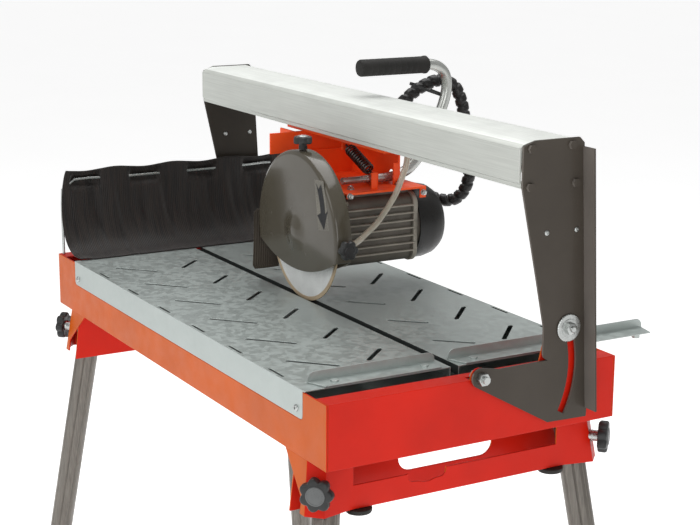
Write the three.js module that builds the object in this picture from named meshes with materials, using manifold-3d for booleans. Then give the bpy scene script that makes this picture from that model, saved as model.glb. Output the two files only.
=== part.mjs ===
// Bridge tile cutter: a water box on four splayed legs, two slotted table plates, and an aluminium rail
// on tilting end plates that carries a plunging motor head with a guarded 250 mm diamond blade.
//
// Machine axes, in millimetres: x runs along the rail and is 0 at the near end of the water box,
// y runs across from the left side of the box, z is 0 at the underside of the box.
import * as THREE from 'three';
import { mergeVertices } from 'three/addons/utils/BufferGeometryUtils.js';
import Module from 'manifold-3d';

const wasm = await Module();
wasm.setup();

// ---- driving dimensions ----
const GAP = 0.3;              // clearance between touching pieces
const BOX = { length: 1118, width: 532, height: 103, wall: 3, flange: 36 };
const FLOOR = -694;           // ground under the feet, giving a table height of 800
const TABLE = { far: -1025, near: -66, top: 106, sheet: 2, flangeBottom: 59, flangeNear: -73 };
const CUT_Y = 266;            // plane of the blade and centre of the table slot
const SLOT_WIDTH = 14;
const SKIRT = { x: -40, y: 24, height: 85, sheet: 3, fold: 66, corner: 22, gusset: 141, rear: -99 };
const LEG = { x: -71.5, y: 44.5, splayX: 0.135, splayY: 0.129, radius: 22.5, bore: 20, footHeight: 34 };
const CLAMP_Z = -42;          // height of the leg clamp knobs
const BLADE = { x: -559, z: 227, radius: 125, kerf: 2.4 };
const GUARD = { radius: 149, front: 247, back: 278.5, sheet: 3 };
const RAIL = { left: 327.5, right: 443, bottom: 393, top: 464, far: -1121.7, near: 3.7 };
const PLATE = { inner: 4, sheet: 4, flange: 27 };
const TILT_SLOT = { radius: 172.4, clampAt: 20, travel: 45, margin: 2.1, halfWidth: 7.4 };
const ROLLER = { radius: 16, z: 413.4, xs: [-450, -735] };
const HINGE = { x: -752, z: 352, radius: 20, carriageCheek: 330, armCheek: 338 };
const MOTOR = { front: 281, rear: 468, halfWidth: 62, halfHeight: 63, fin: 6 };
const HANDLE = { x: -559, radius: 10, grip: 15.5 };
const ARC = 6;                // segments of a rounded corner or arc

// ---- materials ----
const finish = (color, roughness, metalness) => new THREE.MeshStandardMaterial({ color, roughness, metalness });
const paint = finish(0xc83a28, 0.4, 0.1);
const greyPaint = finish(0x4d4841, 0.5, 0.2);
const guardPaint = finish(0x5c584e, 0.35, 0.3);
const galvanised = finish(0xa5acaa, 0.4, 0.9);
const aluminium = finish(0xbec3be, 0.35, 0.9);
const steel = finish(0xb9bcbc, 0.25, 1.0);
const castGrey = finish(0x6e695f, 0.5, 0.6);
const legPaint = finish(0x7d7a73, 0.45, 0.4);
const rubber = finish(0x1e1c19, 0.8, 0.0);
const plastic = finish(0x26282a, 0.5, 0.0);
const clearHose = finish(0xc9c2ae, 0.2, 0.0);
const copper = finish(0x9a5a3a, 0.4, 0.8);

// ---- from three.js geometry to solids and back ----
function solid(geometry) {
  const bare = geometry.index ? geometry.toNonIndexed() : geometry.clone();
  bare.deleteAttribute('normal');
  bare.deleteAttribute('uv');
  const merged = mergeVertices(bare, 1e-4);
  const corners = merged.index.array;
  const kept = [];
  for (let i = 0; i < corners.length; i += 3) {
    const [a, b, c] = [corners[i], corners[i + 1], corners[i + 2]];
    if (a !== b && b !== c && c !== a) kept.push(a, b, c);
  }
  return new wasm.Manifold(new wasm.Mesh({
    numProp: 3,
    vertProperties: new Float32Array(merged.attributes.position.array),
    triVerts: new Uint32Array(kept),
  }));
}

function surface(body) {
  const mesh = body.getMesh();
  const geometry = new THREE.BufferGeometry();
  geometry.setAttribute('position', new THREE.BufferAttribute(mesh.vertProperties, 3));
  geometry.setIndex(new THREE.BufferAttribute(mesh.triVerts, 1));
  geometry.computeVertexNormals();
  return geometry;
}

const join = (...bodies) => bodies.reduce((whole, next) => whole.add(next));
const cut = (body, ...tools) => tools.reduce((rest, tool) => rest.subtract(tool), body);

// ---- outlines ----
function outline(points) {
  return new THREE.Shape(points.map(([u, v]) => new THREE.Vector2(u, v)));
}

function rectangle(u0, u1, v0, v1) {
  return outline([[u0, v0], [u1, v0], [u1, v1], [u0, v1]]);
}

function disc(u, v, radius, segments = 24) {
  const points = [];
  for (let i = 0; i < segments; i += 1) {
    const angle = (2 * Math.PI * i) / segments;
    points.push([u + radius * Math.cos(angle), v + radius * Math.sin(angle)]);
  }
  return outline(points);
}

// Points of an arc from one angle to another, in degrees.
function arc(u, v, radius, from, to, segments = ARC) {
  const points = [];
  for (let i = 0; i <= segments; i += 1) {
    const angle = THREE.MathUtils.degToRad(from + ((to - from) * i) / segments);
    points.push([u + radius * Math.cos(angle), v + radius * Math.sin(angle)]);
  }
  return points;
}

// A slot with round ends between two points.
function slotOutline([u0, v0], [u1, v1], halfWidth, segments = 2) {
  const heading = THREE.MathUtils.radToDeg(Math.atan2(v1 - v0, u1 - u0));
  return outline([
    ...arc(u0, v0, halfWidth, heading + 90, heading + 270, segments),
    ...arc(u1, v1, halfWidth, heading - 90, heading + 90, segments),
  ]);
}

// A star knob with round lobes.
function starOutline(u, v, outer, inner, lobes) {
  const points = [];
  const steps = lobes * 4;
  for (let i = 0; i < steps; i += 1) {
    const angle = (2 * Math.PI * i) / steps;
    const wave = 0.5 + 0.5 * Math.cos(lobes * angle);
    const radius = inner + (outer - inner) * Math.sqrt(wave);
    points.push([u + radius * Math.cos(angle), v + radius * Math.sin(angle)]);
  }
  return outline(points);
}

// ---- extrusions along each machine axis; outlines are (y, z), (x, z) and (x, y) ----
const X = new THREE.Vector3(1, 0, 0);
const Y = new THREE.Vector3(0, 1, 0);
const Z = new THREE.Vector3(0, 0, 1);

function extrude(shape, depth) {
  return new THREE.ExtrudeGeometry(shape, { depth, bevelEnabled: false, curveSegments: ARC });
}

function alongX(shape, x0, x1) {
  const geometry = extrude(shape, x1 - x0);
  geometry.applyMatrix4(new THREE.Matrix4().makeBasis(Y, Z, X));
  return solid(geometry.translate(x0, 0, 0));
}

function alongY(shape, y0, y1) {
  const geometry = extrude(shape, y1 - y0);
  geometry.applyMatrix4(new THREE.Matrix4().makeBasis(X, Z, Y.clone().negate()));
  return solid(geometry.translate(0, y1, 0));
}

function alongZ(shape, z0, z1) {
  return solid(extrude(shape, z1 - z0).translate(0, 0, z0));
}

const block = (x0, x1, y0, y1, z0, z1) => alongZ(rectangle(x0, x1, y0, y1), z0, z1);

// A body turned about a line along y; the profile lists (radius, y) pairs from the axis back to it.
function turned(profile, x, z, segments = 40) {
  const points = profile.map(([radius, y]) => new THREE.Vector2(radius, y));
  return solid(new THREE.LatheGeometry(points, segments).translate(x, 0, z));
}

// A round bar or hose along a smooth curve through the given points.
function tube(points, radius, sides, steps) {
  const path = new THREE.CatmullRomCurve3(points.map((p) => new THREE.Vector3(...p)), false, 'centripetal');
  const section = disc(0, 0, radius, sides);
  return solid(new THREE.ExtrudeGeometry(section, { extrudePath: path, steps, bevelEnabled: false }));
}

// A body between a lower and an upper outline with the same number of points.
function loft(lowerPoints, z0, upperPoints, z1) {
  const clockwise = THREE.ShapeUtils.isClockWise(lowerPoints.map(([u, v]) => new THREE.Vector2(u, v)));
  const lower = clockwise ? [...lowerPoints].reverse() : lowerPoints;
  const upper = clockwise ? [...upperPoints].reverse() : upperPoints;
  const count = lower.length;
  const positions = [];
  const corner = (ring, i) => (ring ? [...upper[i % count], z1] : [...lower[i % count], z0]);
  for (let i = 0; i < count; i += 1) {
    positions.push(...corner(0, i), ...corner(0, i + 1), ...corner(1, i + 1));
    positions.push(...corner(0, i), ...corner(1, i + 1), ...corner(1, i));
  }
  const faces = THREE.ShapeUtils.triangulateShape(lower.map(([u, v]) => new THREE.Vector2(u, v)), []);
  for (const [a, b, c] of faces) {
    positions.push(...corner(0, a), ...corner(0, c), ...corner(0, b));
    positions.push(...corner(1, a), ...corner(1, b), ...corner(1, c));
  }
  const geometry = new THREE.BufferGeometry();
  geometry.setAttribute('position', new THREE.Float32BufferAttribute(positions, 3));
  return solid(geometry);
}

// The same body on the other side of the plane x = about or y = about.
function mirrored(body, axis, about) {
  const geometry = surface(body);
  const scale = axis === 'x' ? [-1, 1, 1] : [1, -1, 1];
  const shift = axis === 'x' ? [2 * about, 0, 0] : [0, 2 * about, 0];
  geometry.scale(...scale).translate(...shift);
  const corners = geometry.index.array;
  for (let i = 0; i < corners.length; i += 3) {
    [corners[i], corners[i + 1]] = [corners[i + 1], corners[i]];
  }
  return solid(geometry);
}

const toFarEnd = (body) => mirrored(body, 'x', -BOX.length / 2);
const toRightSide = (body) => mirrored(body, 'y', BOX.width / 2);

const machine = new THREE.Group();

function add(name, body, material) {
  const mesh = new THREE.Mesh(surface(body), material);
  mesh.name = name;
  machine.add(mesh);
}

// The clamp bolt stands on the end panel and passes through the arc slot of the end plate.
const CLAMP_ANGLE = THREE.MathUtils.degToRad(TILT_SLOT.clampAt);
const CLAMP_AT = [
  CUT_Y + TILT_SLOT.radius * Math.cos(CLAMP_ANGLE), TABLE.top + TILT_SLOT.radius * Math.sin(CLAMP_ANGLE),
];

// ---- water box: two side panels let in for the table flanges, two end panels with pivot ears ----
function sidePanel() {
  const { length, height, wall } = BOX;
  const low = TABLE.flangeBottom - GAP;
  const farEdge = TABLE.far - GAP;
  const nearEdge = TABLE.flangeNear + GAP;
  const face = outline([
    [-length, 0], [0, 0], [0, height], [nearEdge, height],
    ...arc(nearEdge - 7, low + 7, 7, 0, -90, 4),
    ...arc(farEdge + 7, low + 7, 7, 270, 180, 4),
    [farEdge, height], [-length, height],
  ]);
  const bottomFlange = block(-length + wall + GAP, -wall - GAP, 0, 28, 0, wall);
  return join(alongY(face, 0, wall), bottomFlange);
}

function endPanel() {
  const { width, height, wall, flange } = BOX;
  const earRadius = 15;
  const left = wall + GAP;
  const right = width - wall - GAP;
  const face = outline([
    [left, 0], [right, 0], [right, height], [480, height],
    [478, 166], ...arc(462, 170, 16, 10, 90, 4), ...arc(410, 170, 16, 90, 160, 4), [376, height],
    [CUT_Y + earRadius, height], ...arc(CUT_Y, TABLE.top, earRadius, 0, 180, 8),
    [CUT_Y - earRadius, height], [left, height],
  ]);
  const topFlange = block(-flange, 0, left, right, height - wall, height);
  const pivotHole = alongX(disc(CUT_Y, TABLE.top, 6.3, 20), -wall - 1, 1);
  const clampHole = alongX(disc(...CLAMP_AT, 5.3, 16), -wall - 1, 1);
  const nutRelief = block(-18, -wall, CUT_Y - 13, CUT_Y + 13, height - wall - 1, height + 1);
  return cut(join(alongX(face, -wall, 0), topFlange), pivotHole, clampHole, nutRelief);
}

add('left_side_panel', sidePanel(), paint);
add('right_side_panel', toRightSide(sidePanel()), paint);
add('near_end_panel', endPanel(), paint);
add('far_end_panel', toFarEnd(endPanel()), paint);

// ---- leg frames: a front skirt with a hand-grip window, folded round both corners, and a rear wall ----
function legFrame() {
  const { x, y, height, sheet, fold, corner, gusset, rear } = SKIRT;
  const bevel = sheet * (Math.SQRT2 - 1);
  const bracketAt = (drop) => [
    [-gusset, y - corner, 0, 1], [x - corner, y - corner, 1, 1], [x, y, 1, 1], [x, fold, 0, 0],
    [x - sheet, fold, 0, 0], [x - sheet, y + bevel, 1, 1], [x - corner - bevel, y - corner + sheet, 1, 1],
    [-gusset, y - corner + sheet, 0, 1],
  ].map(([u, v, alongLegX, alongLegY]) => [
    u + alongLegX * drop * LEG.splayX, v - alongLegY * drop * LEG.splayY,
  ]);
  const bracket = loft(bracketAt(height), -height, bracketAt(0), -GAP);
  const gussetCut = alongY(outline([
    [-gusset - 1, 8], [-66, -62], [-66, -height - 1], [-gusset - 1, -height - 1],
  ]), -20, y);
  const stud = [LEG.x - CLAMP_Z * LEG.splayX, LEG.y + CLAMP_Z * LEG.splayY];
  const studHole = new THREE.CylinderGeometry(5.2, 5.2, 60, 12).rotateZ(Math.PI / 2)
    .translate(40, 0, 0).rotateZ(-Math.PI / 4).translate(stud[0], stud[1], CLAMP_Z);
  const left = cut(bracket, gussetCut, solid(studHole));
  const skirt = alongX(rectangle(fold - 1, BOX.width - fold + 1, -height, -GAP), x - sheet, x);
  const flare = height * LEG.splayY;
  const edge = y - corner + 1;
  const foot = height + 8;
  const rearWall = alongX(outline([
    [edge, -GAP], [edge - flare, -foot], [BOX.width - edge + flare, -foot], [BOX.width - edge, -GAP],
  ]), rear - sheet, rear);
  const rearWindow = alongX(outline([
    [186, -8], ...arc(208, -43, 22, 180, 270), ...arc(342, -43, 22, 270, 360), [364, -8],
  ]), rear - 5, rear + 5);
  const seam = block(rear - sheet, rear, y - corner + 1, y - corner + 2, -20, -GAP);
  const gripWindow = outline([
    [450, -8], [450, -46], [240, -46], ...arc(225, -49, 12, 20, -60, 3), ...arc(202, -30, 34, -65, -115, 5),
    ...arc(179, -49, 12, -120, -200, 3), [164, -46], [fold + 4, -46], [fold + 4, -8],
  ]);
  const window = alongX(gripWindow, x - 30, x + 30);
  return cut(join(left, skirt, toRightSide(left), cut(join(rearWall, seam), rearWindow)), window);
}

add('near_leg_frame', legFrame(), paint);
add('far_leg_frame', toFarEnd(legFrame()), paint);

// ---- legs: fluted tubes splayed both ways, with rubber feet and star knobs on diagonal studs ----
const CORNERS = [['near_left', 1, -1], ['near_right', 1, 1], ['far_left', -1, -1], ['far_right', -1, 1]];

function fluted(radius, depth, flutes) {
  const points = [];
  const steps = 48;
  for (let i = 0; i < steps; i += 1) {
    const angle = (2 * Math.PI * i) / steps;
    const wave = Math.max(0, Math.cos(flutes * angle)) ** 2;
    const r = radius - depth * wave;
    points.push([r * Math.cos(angle), r * Math.sin(angle)]);
  }
  return outline(points);
}

function splayed(body, dirX, dirY) {
  const centreX = dirX > 0 ? LEG.x : -BOX.length - LEG.x;
  const centreY = dirY < 0 ? LEG.y : BOX.width - LEG.y;
  const [sx, sy] = [-dirX * LEG.splayX, -dirY * LEG.splayY];
  const shear = new THREE.Matrix4().set(1, 0, sx, centreX, 0, 1, sy, centreY, 0, 0, 1, 0, 0, 0, 0, 1);
  return solid(surface(body).applyMatrix4(shear));
}

function legTube() {
  const outer = alongZ(fluted(LEG.radius, 1.4, 6), FLOOR + 6, -1);
  return cut(outer, alongZ(disc(0, 0, LEG.bore, 24), FLOOR, 0));
}

function legFoot() {
  const cup = alongZ(disc(0, 0, LEG.radius + 4, 24), FLOOR, FLOOR + LEG.footHeight);
  return cut(cup, alongZ(disc(0, 0, LEG.radius + 0.7, 24), FLOOR + 6 - GAP, FLOOR + LEG.footHeight + 1));
}

function legKnob(dirX, dirY) {
  const star = extrude(starOutline(0, 0, 27, 21.5, 7), 17).translate(0, 0, 27);
  const hub = new THREE.CylinderGeometry(11, 11, 12, 16).rotateX(Math.PI / 2).translate(0, 0, 21.5);
  const stud = new THREE.CylinderGeometry(4.5, 4.5, 18, 12).rotateX(Math.PI / 2).translate(0, 0, 9.5);
  const turn = new THREE.Matrix4().makeRotationY(Math.PI / 2);
  const heading = new THREE.Matrix4().makeRotationZ(Math.atan2(dirY, dirX));
  const centreX = dirX > 0 ? LEG.x : -BOX.length - LEG.x;
  const centreY = dirY < 0 ? LEG.y : BOX.width - LEG.y;
  const reach = LEG.radius * Math.SQRT1_2 + 1;
  const place = new THREE.Matrix4().makeTranslation(
    centreX - dirX * LEG.splayX * CLAMP_Z + dirX * reach,
    centreY - dirY * LEG.splayY * CLAMP_Z + dirY * reach,
    CLAMP_Z,
  );
  const pose = place.multiply(heading).multiply(turn);
  return join(...[star, hub, stud].map((piece) => solid(piece.applyMatrix4(pose))));
}

for (const [corner, dirX, dirY] of CORNERS) {
  add(`${corner}_leg`, splayed(legTube(), dirX, dirY), legPaint);
  add(`${corner}_foot`, splayed(legFoot(), dirX, dirY), rubber);
  add(`${corner}_clamp_knob`, legKnob(dirX, dirY), plastic);
}

// ---- water tray in the box, with a drain plug through its floor ----
const DRAIN = { x: -930, y: 120, radius: 17 };

function waterTray() {
  const wall = 2;
  const [x0, x1, y0, y1, z0, z1] = [-1078, -42, 32, 500, 4, 88];
  const water = block(x0 + wall, x1 - wall, y0 + wall, y1 - wall, z0 + wall, z1 + 1);
  const pan = cut(block(x0, x1, y0, y1, z0, z1), water);
  const rim = cut(block(x0 - 2, x1 + 2, 8, 524, z1 - 3, z1), water);
  const drainHole = alongZ(disc(DRAIN.x, DRAIN.y, DRAIN.radius + GAP, 24), z0 - 1, z0 + wall + 1);
  return cut(join(pan, rim), drainHole);
}

add('water_tray', waterTray(), galvanised);
add('drain_plug', join(
  alongZ(disc(DRAIN.x, DRAIN.y, DRAIN.radius, 24), -6, 9),
  alongZ(disc(DRAIN.x, DRAIN.y, DRAIN.radius + 6, 24), 7, 12),
), rubber);

// ---- table plates: drain slots in a herringbone, outer flange let into the side panel ----
function tablePlate() {
  const { far, near, top, sheet, flangeBottom, flangeNear } = TABLE;
  const slotEdge = CUT_Y - SLOT_WIDTH / 2;
  const plate = block(far, near, 0, slotEdge, top - sheet, top);
  const flange = alongY(outline([
    [far, top], [near, top], [near, top - sheet], [flangeNear, top - sheet],
    ...arc(flangeNear - 7, flangeBottom + 7, 7, 0, -90, 4), ...arc(far + 7, flangeBottom + 7, 7, 270, 180, 4),
  ].reverse()), 0, sheet);
  const slotFlange = block(far, near, slotEdge - sheet, slotEdge, top - 16, top);
  const pitch = 142.5;
  const slots = [];
  for (let i = 0; i < 6; i += 1) {
    const shift = i * pitch;
    slots.push(slotOutline([-907 + shift, 7], [-860 + shift, 7], 2));
    slots.push(slotOutline([-930 + shift, 51], [-869 + shift, 108], 4));
    slots.push(slotOutline([-873 + shift, 166], [-918 + shift, 214], 4));
  }
  const openings = slots.map((shape) => alongZ(shape, top - sheet - 1, top + 1));
  return cut(join(plate, flange, slotFlange), ...openings);
}

add('left_table_plate', tablePlate(), galvanised);
add('right_table_plate', toRightSide(tablePlate()), galvanised);

// ---- angle fences across the near end of the table ----
const FENCE_BOLT = { x: -82, radius: 7 };

function fence(y0, y1) {
  const seat = TABLE.top + GAP;
  const [back, front] = [-101, -66];
  const foot = alongZ(outline([[back, y0], [front, y0 + 14], [front, y1 - 8], [back, y1]]), seat, seat + 2);
  const upright = alongX(outline([
    [y0, seat], [y1, seat], [y1, seat + 4], ...arc(y1 - 12, seat + 5, 12, 0, 90, 5),
    ...arc(y0 + 14, seat + 3, 14, 90, 180, 6),
  ]), back, back + 2);
  const bolt = (y) => join(
    alongZ(disc(FENCE_BOLT.x, y, 4, 12), seat, seat + 5),
    alongZ(disc(FENCE_BOLT.x, y, FENCE_BOLT.radius, 6), seat + 2, seat + 5),
  );
  return join(foot, upright, bolt(y0 + 38), bolt(Math.min(y1 - 30, 500)));
}

add('left_fence', fence(22, 250), galvanised);
const overhangNut = alongZ(disc(FENCE_BOLT.x, 642, FENCE_BOLT.radius, 6), TABLE.top - 9, TABLE.top + 1);
add('right_fence', join(fence(274, 668), overhangNut), galvanised);

// ---- splash curtain hung from a wire hoop at the far end ----
const HOOP = { x: -1108, radius: 3, top: 252 };

add('curtain_hoop', tube([
  [HOOP.x, 8, BOX.height + GAP], [HOOP.x, 8, 150], [HOOP.x, 8, 215], [HOOP.x, 11, 240], [HOOP.x, 26, HOOP.top],
  [HOOP.x, 150, HOOP.top], [HOOP.x, 380, HOOP.top], [HOOP.x, 506, HOOP.top], [HOOP.x, 521, 240],
  [HOOP.x, 524, 215], [HOOP.x, 524, 150], [HOOP.x, 524, BOX.height + GAP],
], HOOP.radius, 8, 24), steel);

function splashCurtain() {
  const front = [
    [-1101, 274], [-1101, 215], [-1094, 168], [-1072, 130], [-1048, 113.5], [-1030, 109.5], [-1016, 109],
  ];
  const back = [
    [-1016, 106.4], [-1031, 107], [-1050, 110.5], [-1074.5, 127], [-1097, 167], [-1104.4, 214], [-1104.4, 274],
  ];
  return alongY(outline([...front, ...back].reverse()), 16, 516);
}

add('splash_curtain', splashCurtain(), rubber);

// ---- tilting bridge: rail between two end plates ----
function endPlate() {
  const { inner, sheet, flange } = PLATE;
  const outer = inner + sheet;
  const face = outline([
    ...arc(CUT_Y, TABLE.top, 16, 90, 236, 8),
    [394, 15], [470, 13], [470.5, 22], [446, 456], [437, 465], [354, 465], [332, 457], [332, 394],
    [365, 245], [381, 170], ...arc(399, 129, 12, 180, 262, 4).map(([u, v]) => [u - 6, v]), [300, 116],
  ].reverse());
  const plate = alongX(face, inner, outer);
  const edge = alongX(outline([[467, 28], [470, 28], [446.5, 450], [443.5, 450]]), inner, outer + flange);
  const slotTop = TILT_SLOT.clampAt + TILT_SLOT.margin;
  const slotEnd = TILT_SLOT.clampAt - TILT_SLOT.travel - TILT_SLOT.margin;
  const slotPoints = [
    ...arc(CUT_Y, TABLE.top, TILT_SLOT.radius + TILT_SLOT.halfWidth, slotEnd, slotTop, 12),
    ...arc(CUT_Y, TABLE.top, TILT_SLOT.radius - TILT_SLOT.halfWidth, slotTop, slotEnd, 12),
  ];
  const tiltSlot = alongX(outline(slotPoints), inner - 1, outer + 1);
  const pivotHole = alongX(disc(CUT_Y, TABLE.top, 6.3, 20), inner - 1, outer + 1);
  const hexHead = (y, z, r, t) => alongX(disc(y, z, r, 6), outer, outer + t);
  const screws = [[346, 453], [422, 454], [345, 395], [431, 395]].map(([y, z]) => hexHead(y, z, 7, 5));
  return join(cut(join(plate, edge), tiltSlot, pivotHole), ...screws);
}

add('near_end_plate', endPlate(), greyPaint);
add('far_end_plate', toFarEnd(endPlate()), greyPaint);

function rail() {
  const { left, right, bottom, top, far, near } = RAIL;
  const wall = 4;
  const lip = bottom + wall;
  const profile = outline([
    [355, bottom], [355, lip], [left + 7, lip], [left + 7, lip + 6], [left + wall, lip + 8],
    [left + wall, 451], [left + 24, top - wall], [right - 17, top - wall], [right - wall, 451],
    [right - wall, lip + 8], [right - 7, lip + 6], [right - 7, lip], [415, lip], [415, bottom],
    [right - 3, bottom], [right - 3, bottom + 7], [right, bottom + 8], [right, 454], [right - 6, 461],
    [right - 16, top], [left + 23, top], [left + 7, 460], [left, 454], [left, bottom + 8],
    [left + 3, bottom + 7], [left + 3, bottom],
  ].reverse());
  return alongX(profile, far, near);
}

add('rail', rail(), aluminium);

function pivotBolt() {
  const rod = (r, x0, x1, sides) => alongX(disc(CUT_Y, TABLE.top, r, sides), x0, x1);
  return join(rod(6, -14, 24, 12), rod(10, -12, -BOX.wall - GAP, 6), rod(10.5, 8 + GAP, 18, 6));
}

add('near_pivot_bolt', pivotBolt(), steel);
add('far_pivot_bolt', toFarEnd(pivotBolt()), steel);

function tiltClamp() {
  const rod = (r, x0, x1, sides) => alongX(disc(...CLAMP_AT, r, sides), x0, x1);
  const nut = rod(9, -10, -BOX.wall - GAP, 6);
  const washer = rod(22.5, 8 + GAP, 11, 24);
  return join(rod(5, -12, 24, 12), nut, washer, rod(10, 10, 20, 6));
}

add('near_tilt_clamp', tiltClamp(), steel);
add('far_tilt_clamp', toFarEnd(tiltClamp()), steel);

// ---- carriage: plate under the rail, ears up to the rollers in it, and the head's hinge bracket ----
const CARRIAGE = { far: -780, near: -421, left: 348, right: 422, bottom: 383, top: 388 };

function carriage() {
  const { far, near, left, right, bottom, top } = CARRIAGE;
  const plate = block(far, near, left, right, bottom, top);
  const ear = (x, y) => alongY(outline([
    [x - 18, top - 1], [x + 18, top - 1], [x + 18, ROLLER.z - 6], ...arc(x, ROLLER.z, 13, 0, 180),
    [x - 18, ROLLER.z - 6],
  ]), y, y + 3);
  const ears = ROLLER.xs.flatMap((x) => [ear(x, 358), ear(x, 409)]);
  const crossbar = block(-719, -715, 278, 441, 344, bottom + 0.2);
  const cheek = (y) => alongY(outline([
    [-715, bottom], [HINGE.x - 24, bottom], ...arc(HINGE.x, HINGE.z, 24, 180, 280), [-730, 328], [-715, 334],
  ]), y, y + 4);
  const springLug = block(-624.5, -620.5, 379, 391, 358, bottom + 1);
  const hoseTab = block(-494, -466, right - 1, right + 20, bottom, top);
  const axleHoles = ROLLER.xs.map((x) => alongY(disc(x, ROLLER.z, 6.3, 16), left, right));
  const pinHole = alongY(disc(HINGE.x, HINGE.z, 7.3, 20), 270, 450);
  const cheeks = [cheek(HINGE.carriageCheek), cheek(437)];
  return cut(join(plate, ...ears, crossbar, ...cheeks, springLug, hoseTab), ...axleHoles, pinHole);
}

add('carriage', carriage(), paint);

function rollerSet(x) {
  const part = (r, y0, y1, n) => alongY(disc(x, ROLLER.z, r, n), y0, y1);
  return join(part(ROLLER.radius, 338, 352, 20), part(ROLLER.radius, 418, 432, 20), part(6, 345, 425, 12));
}

add('near_roller_set', rollerSet(ROLLER.xs[0]), steel);
add('far_roller_set', rollerSet(ROLLER.xs[1]), steel);
add('head_hinge_pin', join(
  alongY(disc(HINGE.x, HINGE.z, 7, 16), HINGE.carriageCheek - 10, 460),
  alongY(disc(HINGE.x, HINGE.z, 11, 6), HINGE.carriageCheek - 10, HINGE.carriageCheek - GAP),
  alongY(disc(HINGE.x, HINGE.z, 11, 6), 451 + GAP, 460),
), steel);

// ---- head arm: saddle plate over the motor with cheeks up to the hinge pin, and a strap for the handle ----
const SADDLE_TOP = 302;
const TUBE_Z = SADDLE_TOP + HANDLE.radius + 2 * GAP;

function headArm() {
  const under = SADDLE_TOP - 4;
  const far = HINGE.x - HINGE.radius;
  const saddle = alongZ(outline([
    [far, HINGE.armCheek], [-690, HINGE.armCheek], [-650, 318], [-497, 318], [-497, 485], [-600, 485],
    [-640, 451], [far, 451],
  ]), under, SADDLE_TOP);
  const leftCheek = alongY(outline([
    [far, under], [-685, under], [-690, 312], [-718, 335], ...arc(HINGE.x, HINGE.z, HINGE.radius, -30, 180),
  ]), HINGE.armCheek, HINGE.armCheek + 4);
  const rightCheek = alongY(outline([
    [far, under], [-533, under], [-533, 358], [-539, 364], [-690, 370],
    ...arc(HINGE.x, HINGE.z, HINGE.radius, 70, 180),
  ]), 447, 451);
  const nearFlange = block(-537, -533, 437, 451, under, 342);
  const crossPanel = block(-704, -700, HINGE.armCheek + 1, 448, SADDLE_TOP - 1, 348);
  const rightTab = block(-500, -497, 472, 485, 281, SADDLE_TOP);
  const leftTab = block(-500, -497, 318, 330, 292, SADDLE_TOP);
  const strap = block(-575, -543, 401, 411, SADDLE_TOP - 1, TUBE_Z + HANDLE.radius + 3);
  const tubeHole = alongY(disc(HANDLE.x, TUBE_Z, HANDLE.radius + GAP, 20), 380, 420);
  const tubeNotch = alongY(disc(HANDLE.x, TUBE_Z + 1, HANDLE.radius + 3, 20), 440, 460);
  const springLug = block(-517, -513, 379, 391, SADDLE_TOP - 1, 332);
  const pinHole = alongY(disc(HINGE.x, HINGE.z, 7.3, 20), 280, 460);
  const rightSide = cut(rightCheek, tubeNotch);
  const handleStrap = cut(strap, tubeHole);
  const sheets = [saddle, leftCheek, rightSide, crossPanel, nearFlange, rightTab, leftTab];
  return cut(join(...sheets, handleStrap, springLug), pinHole);
}

add('head_arm', headArm(), paint);

// ---- lift spring between the carriage and the head arm ----
const SPRING = { from: [-614, 385, 367], to: [-523, 385, 329.5], radius: 12 };
add('lift_spring', tube([SPRING.from, SPRING.to], SPRING.radius, 12, 1), steel);

// ---- handle: a bent tube round the rail, with a foam grip ----
const HANDLE_ROUTE = [
  [HANDLE.x, 343, TUBE_Z], [HANDLE.x, 400, TUBE_Z], [HANDLE.x, 440, TUBE_Z], [HANDLE.x, 466, 316.5],
  [HANDLE.x, 490, 328], [HANDLE.x, 512, 352], [HANDLE.x, 532, 386], [HANDLE.x, 550, 420],
  [HANDLE.x, 562, 450], [HANDLE.x, 566, 475], [HANDLE.x, 561, 497], [HANDLE.x, 547, 510],
  [HANDLE.x, 528, 515.5], [HANDLE.x, 490, 515.5], [HANDLE.x, 384, 515.5],
];
add('handle_tube', tube(HANDLE_ROUTE, HANDLE.radius, 10, 26), galvanised);
add('handle_grip', cut(
  alongY(disc(HANDLE.x, 515.5, HANDLE.grip, 24), 377, 521),
  alongY(disc(HANDLE.x, 515.5, HANDLE.radius + 0.9, 24), 383.5, 525),
), rubber);

// ---- motor: finned housing, stator, rear shield, fan cover ----
function motorHousing() {
  const { front, rear, halfWidth, halfHeight, fin } = MOTOR;
  const { x, z } = BLADE;
  const coreWidth = halfWidth - fin;
  const corner = 20;
  const core = alongY(outline([
    ...arc(x + coreWidth - corner, z + halfHeight - corner, corner, 0, 90, 4),
    ...arc(x - coreWidth + corner, z + halfHeight - corner, corner, 90, 180, 4),
    ...arc(x - coreWidth + corner, z - halfHeight + corner, corner, 180, 270, 4),
    ...arc(x + coreWidth - corner, z - halfHeight + corner, corner, 270, 360, 4),
  ]), front + 19, rear);
  const fins = [];
  for (let i = -3; i <= 3; i += 1) {
    const level = z + i * 14;
    fins.push(block(x - halfWidth, x + halfWidth, front + 40, rear - 2, level - 1.3, level + 1.3));
  }
  const shield = turned([[0, front], [46, front], [57, front + 14], [57, front + 26], [0, front + 26]], x, z, 32);
  const foot = block(x - 40, x + 40, 330, 460, z + 50, 298 - GAP);
  const boss = turned([[0, front + 10], [30, front + 10], [30, front + 30], [0, front + 30]], x, z, 24);
  const cavity = alongY(disc(x, z, 50, 32), front + 22, rear + 1);
  const bearingSeat = alongY(disc(x, z, 24.3, 32), front + 6, front + 31);
  const shaftHole = alongY(disc(x, z, 12, 24), front - 1, front + 10);
  return cut(join(cut(join(core, ...fins, shield, foot), cavity), boss), bearingSeat, shaftHole);
}

add('motor_housing', motorHousing(), castGrey);

const ring = (outer, inner, y0, y1, segments = 28) => turned([
  [inner, y0], [outer, y0], [outer, y1], [inner, y1], [inner, y0],
], BLADE.x, BLADE.z, segments);

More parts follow.
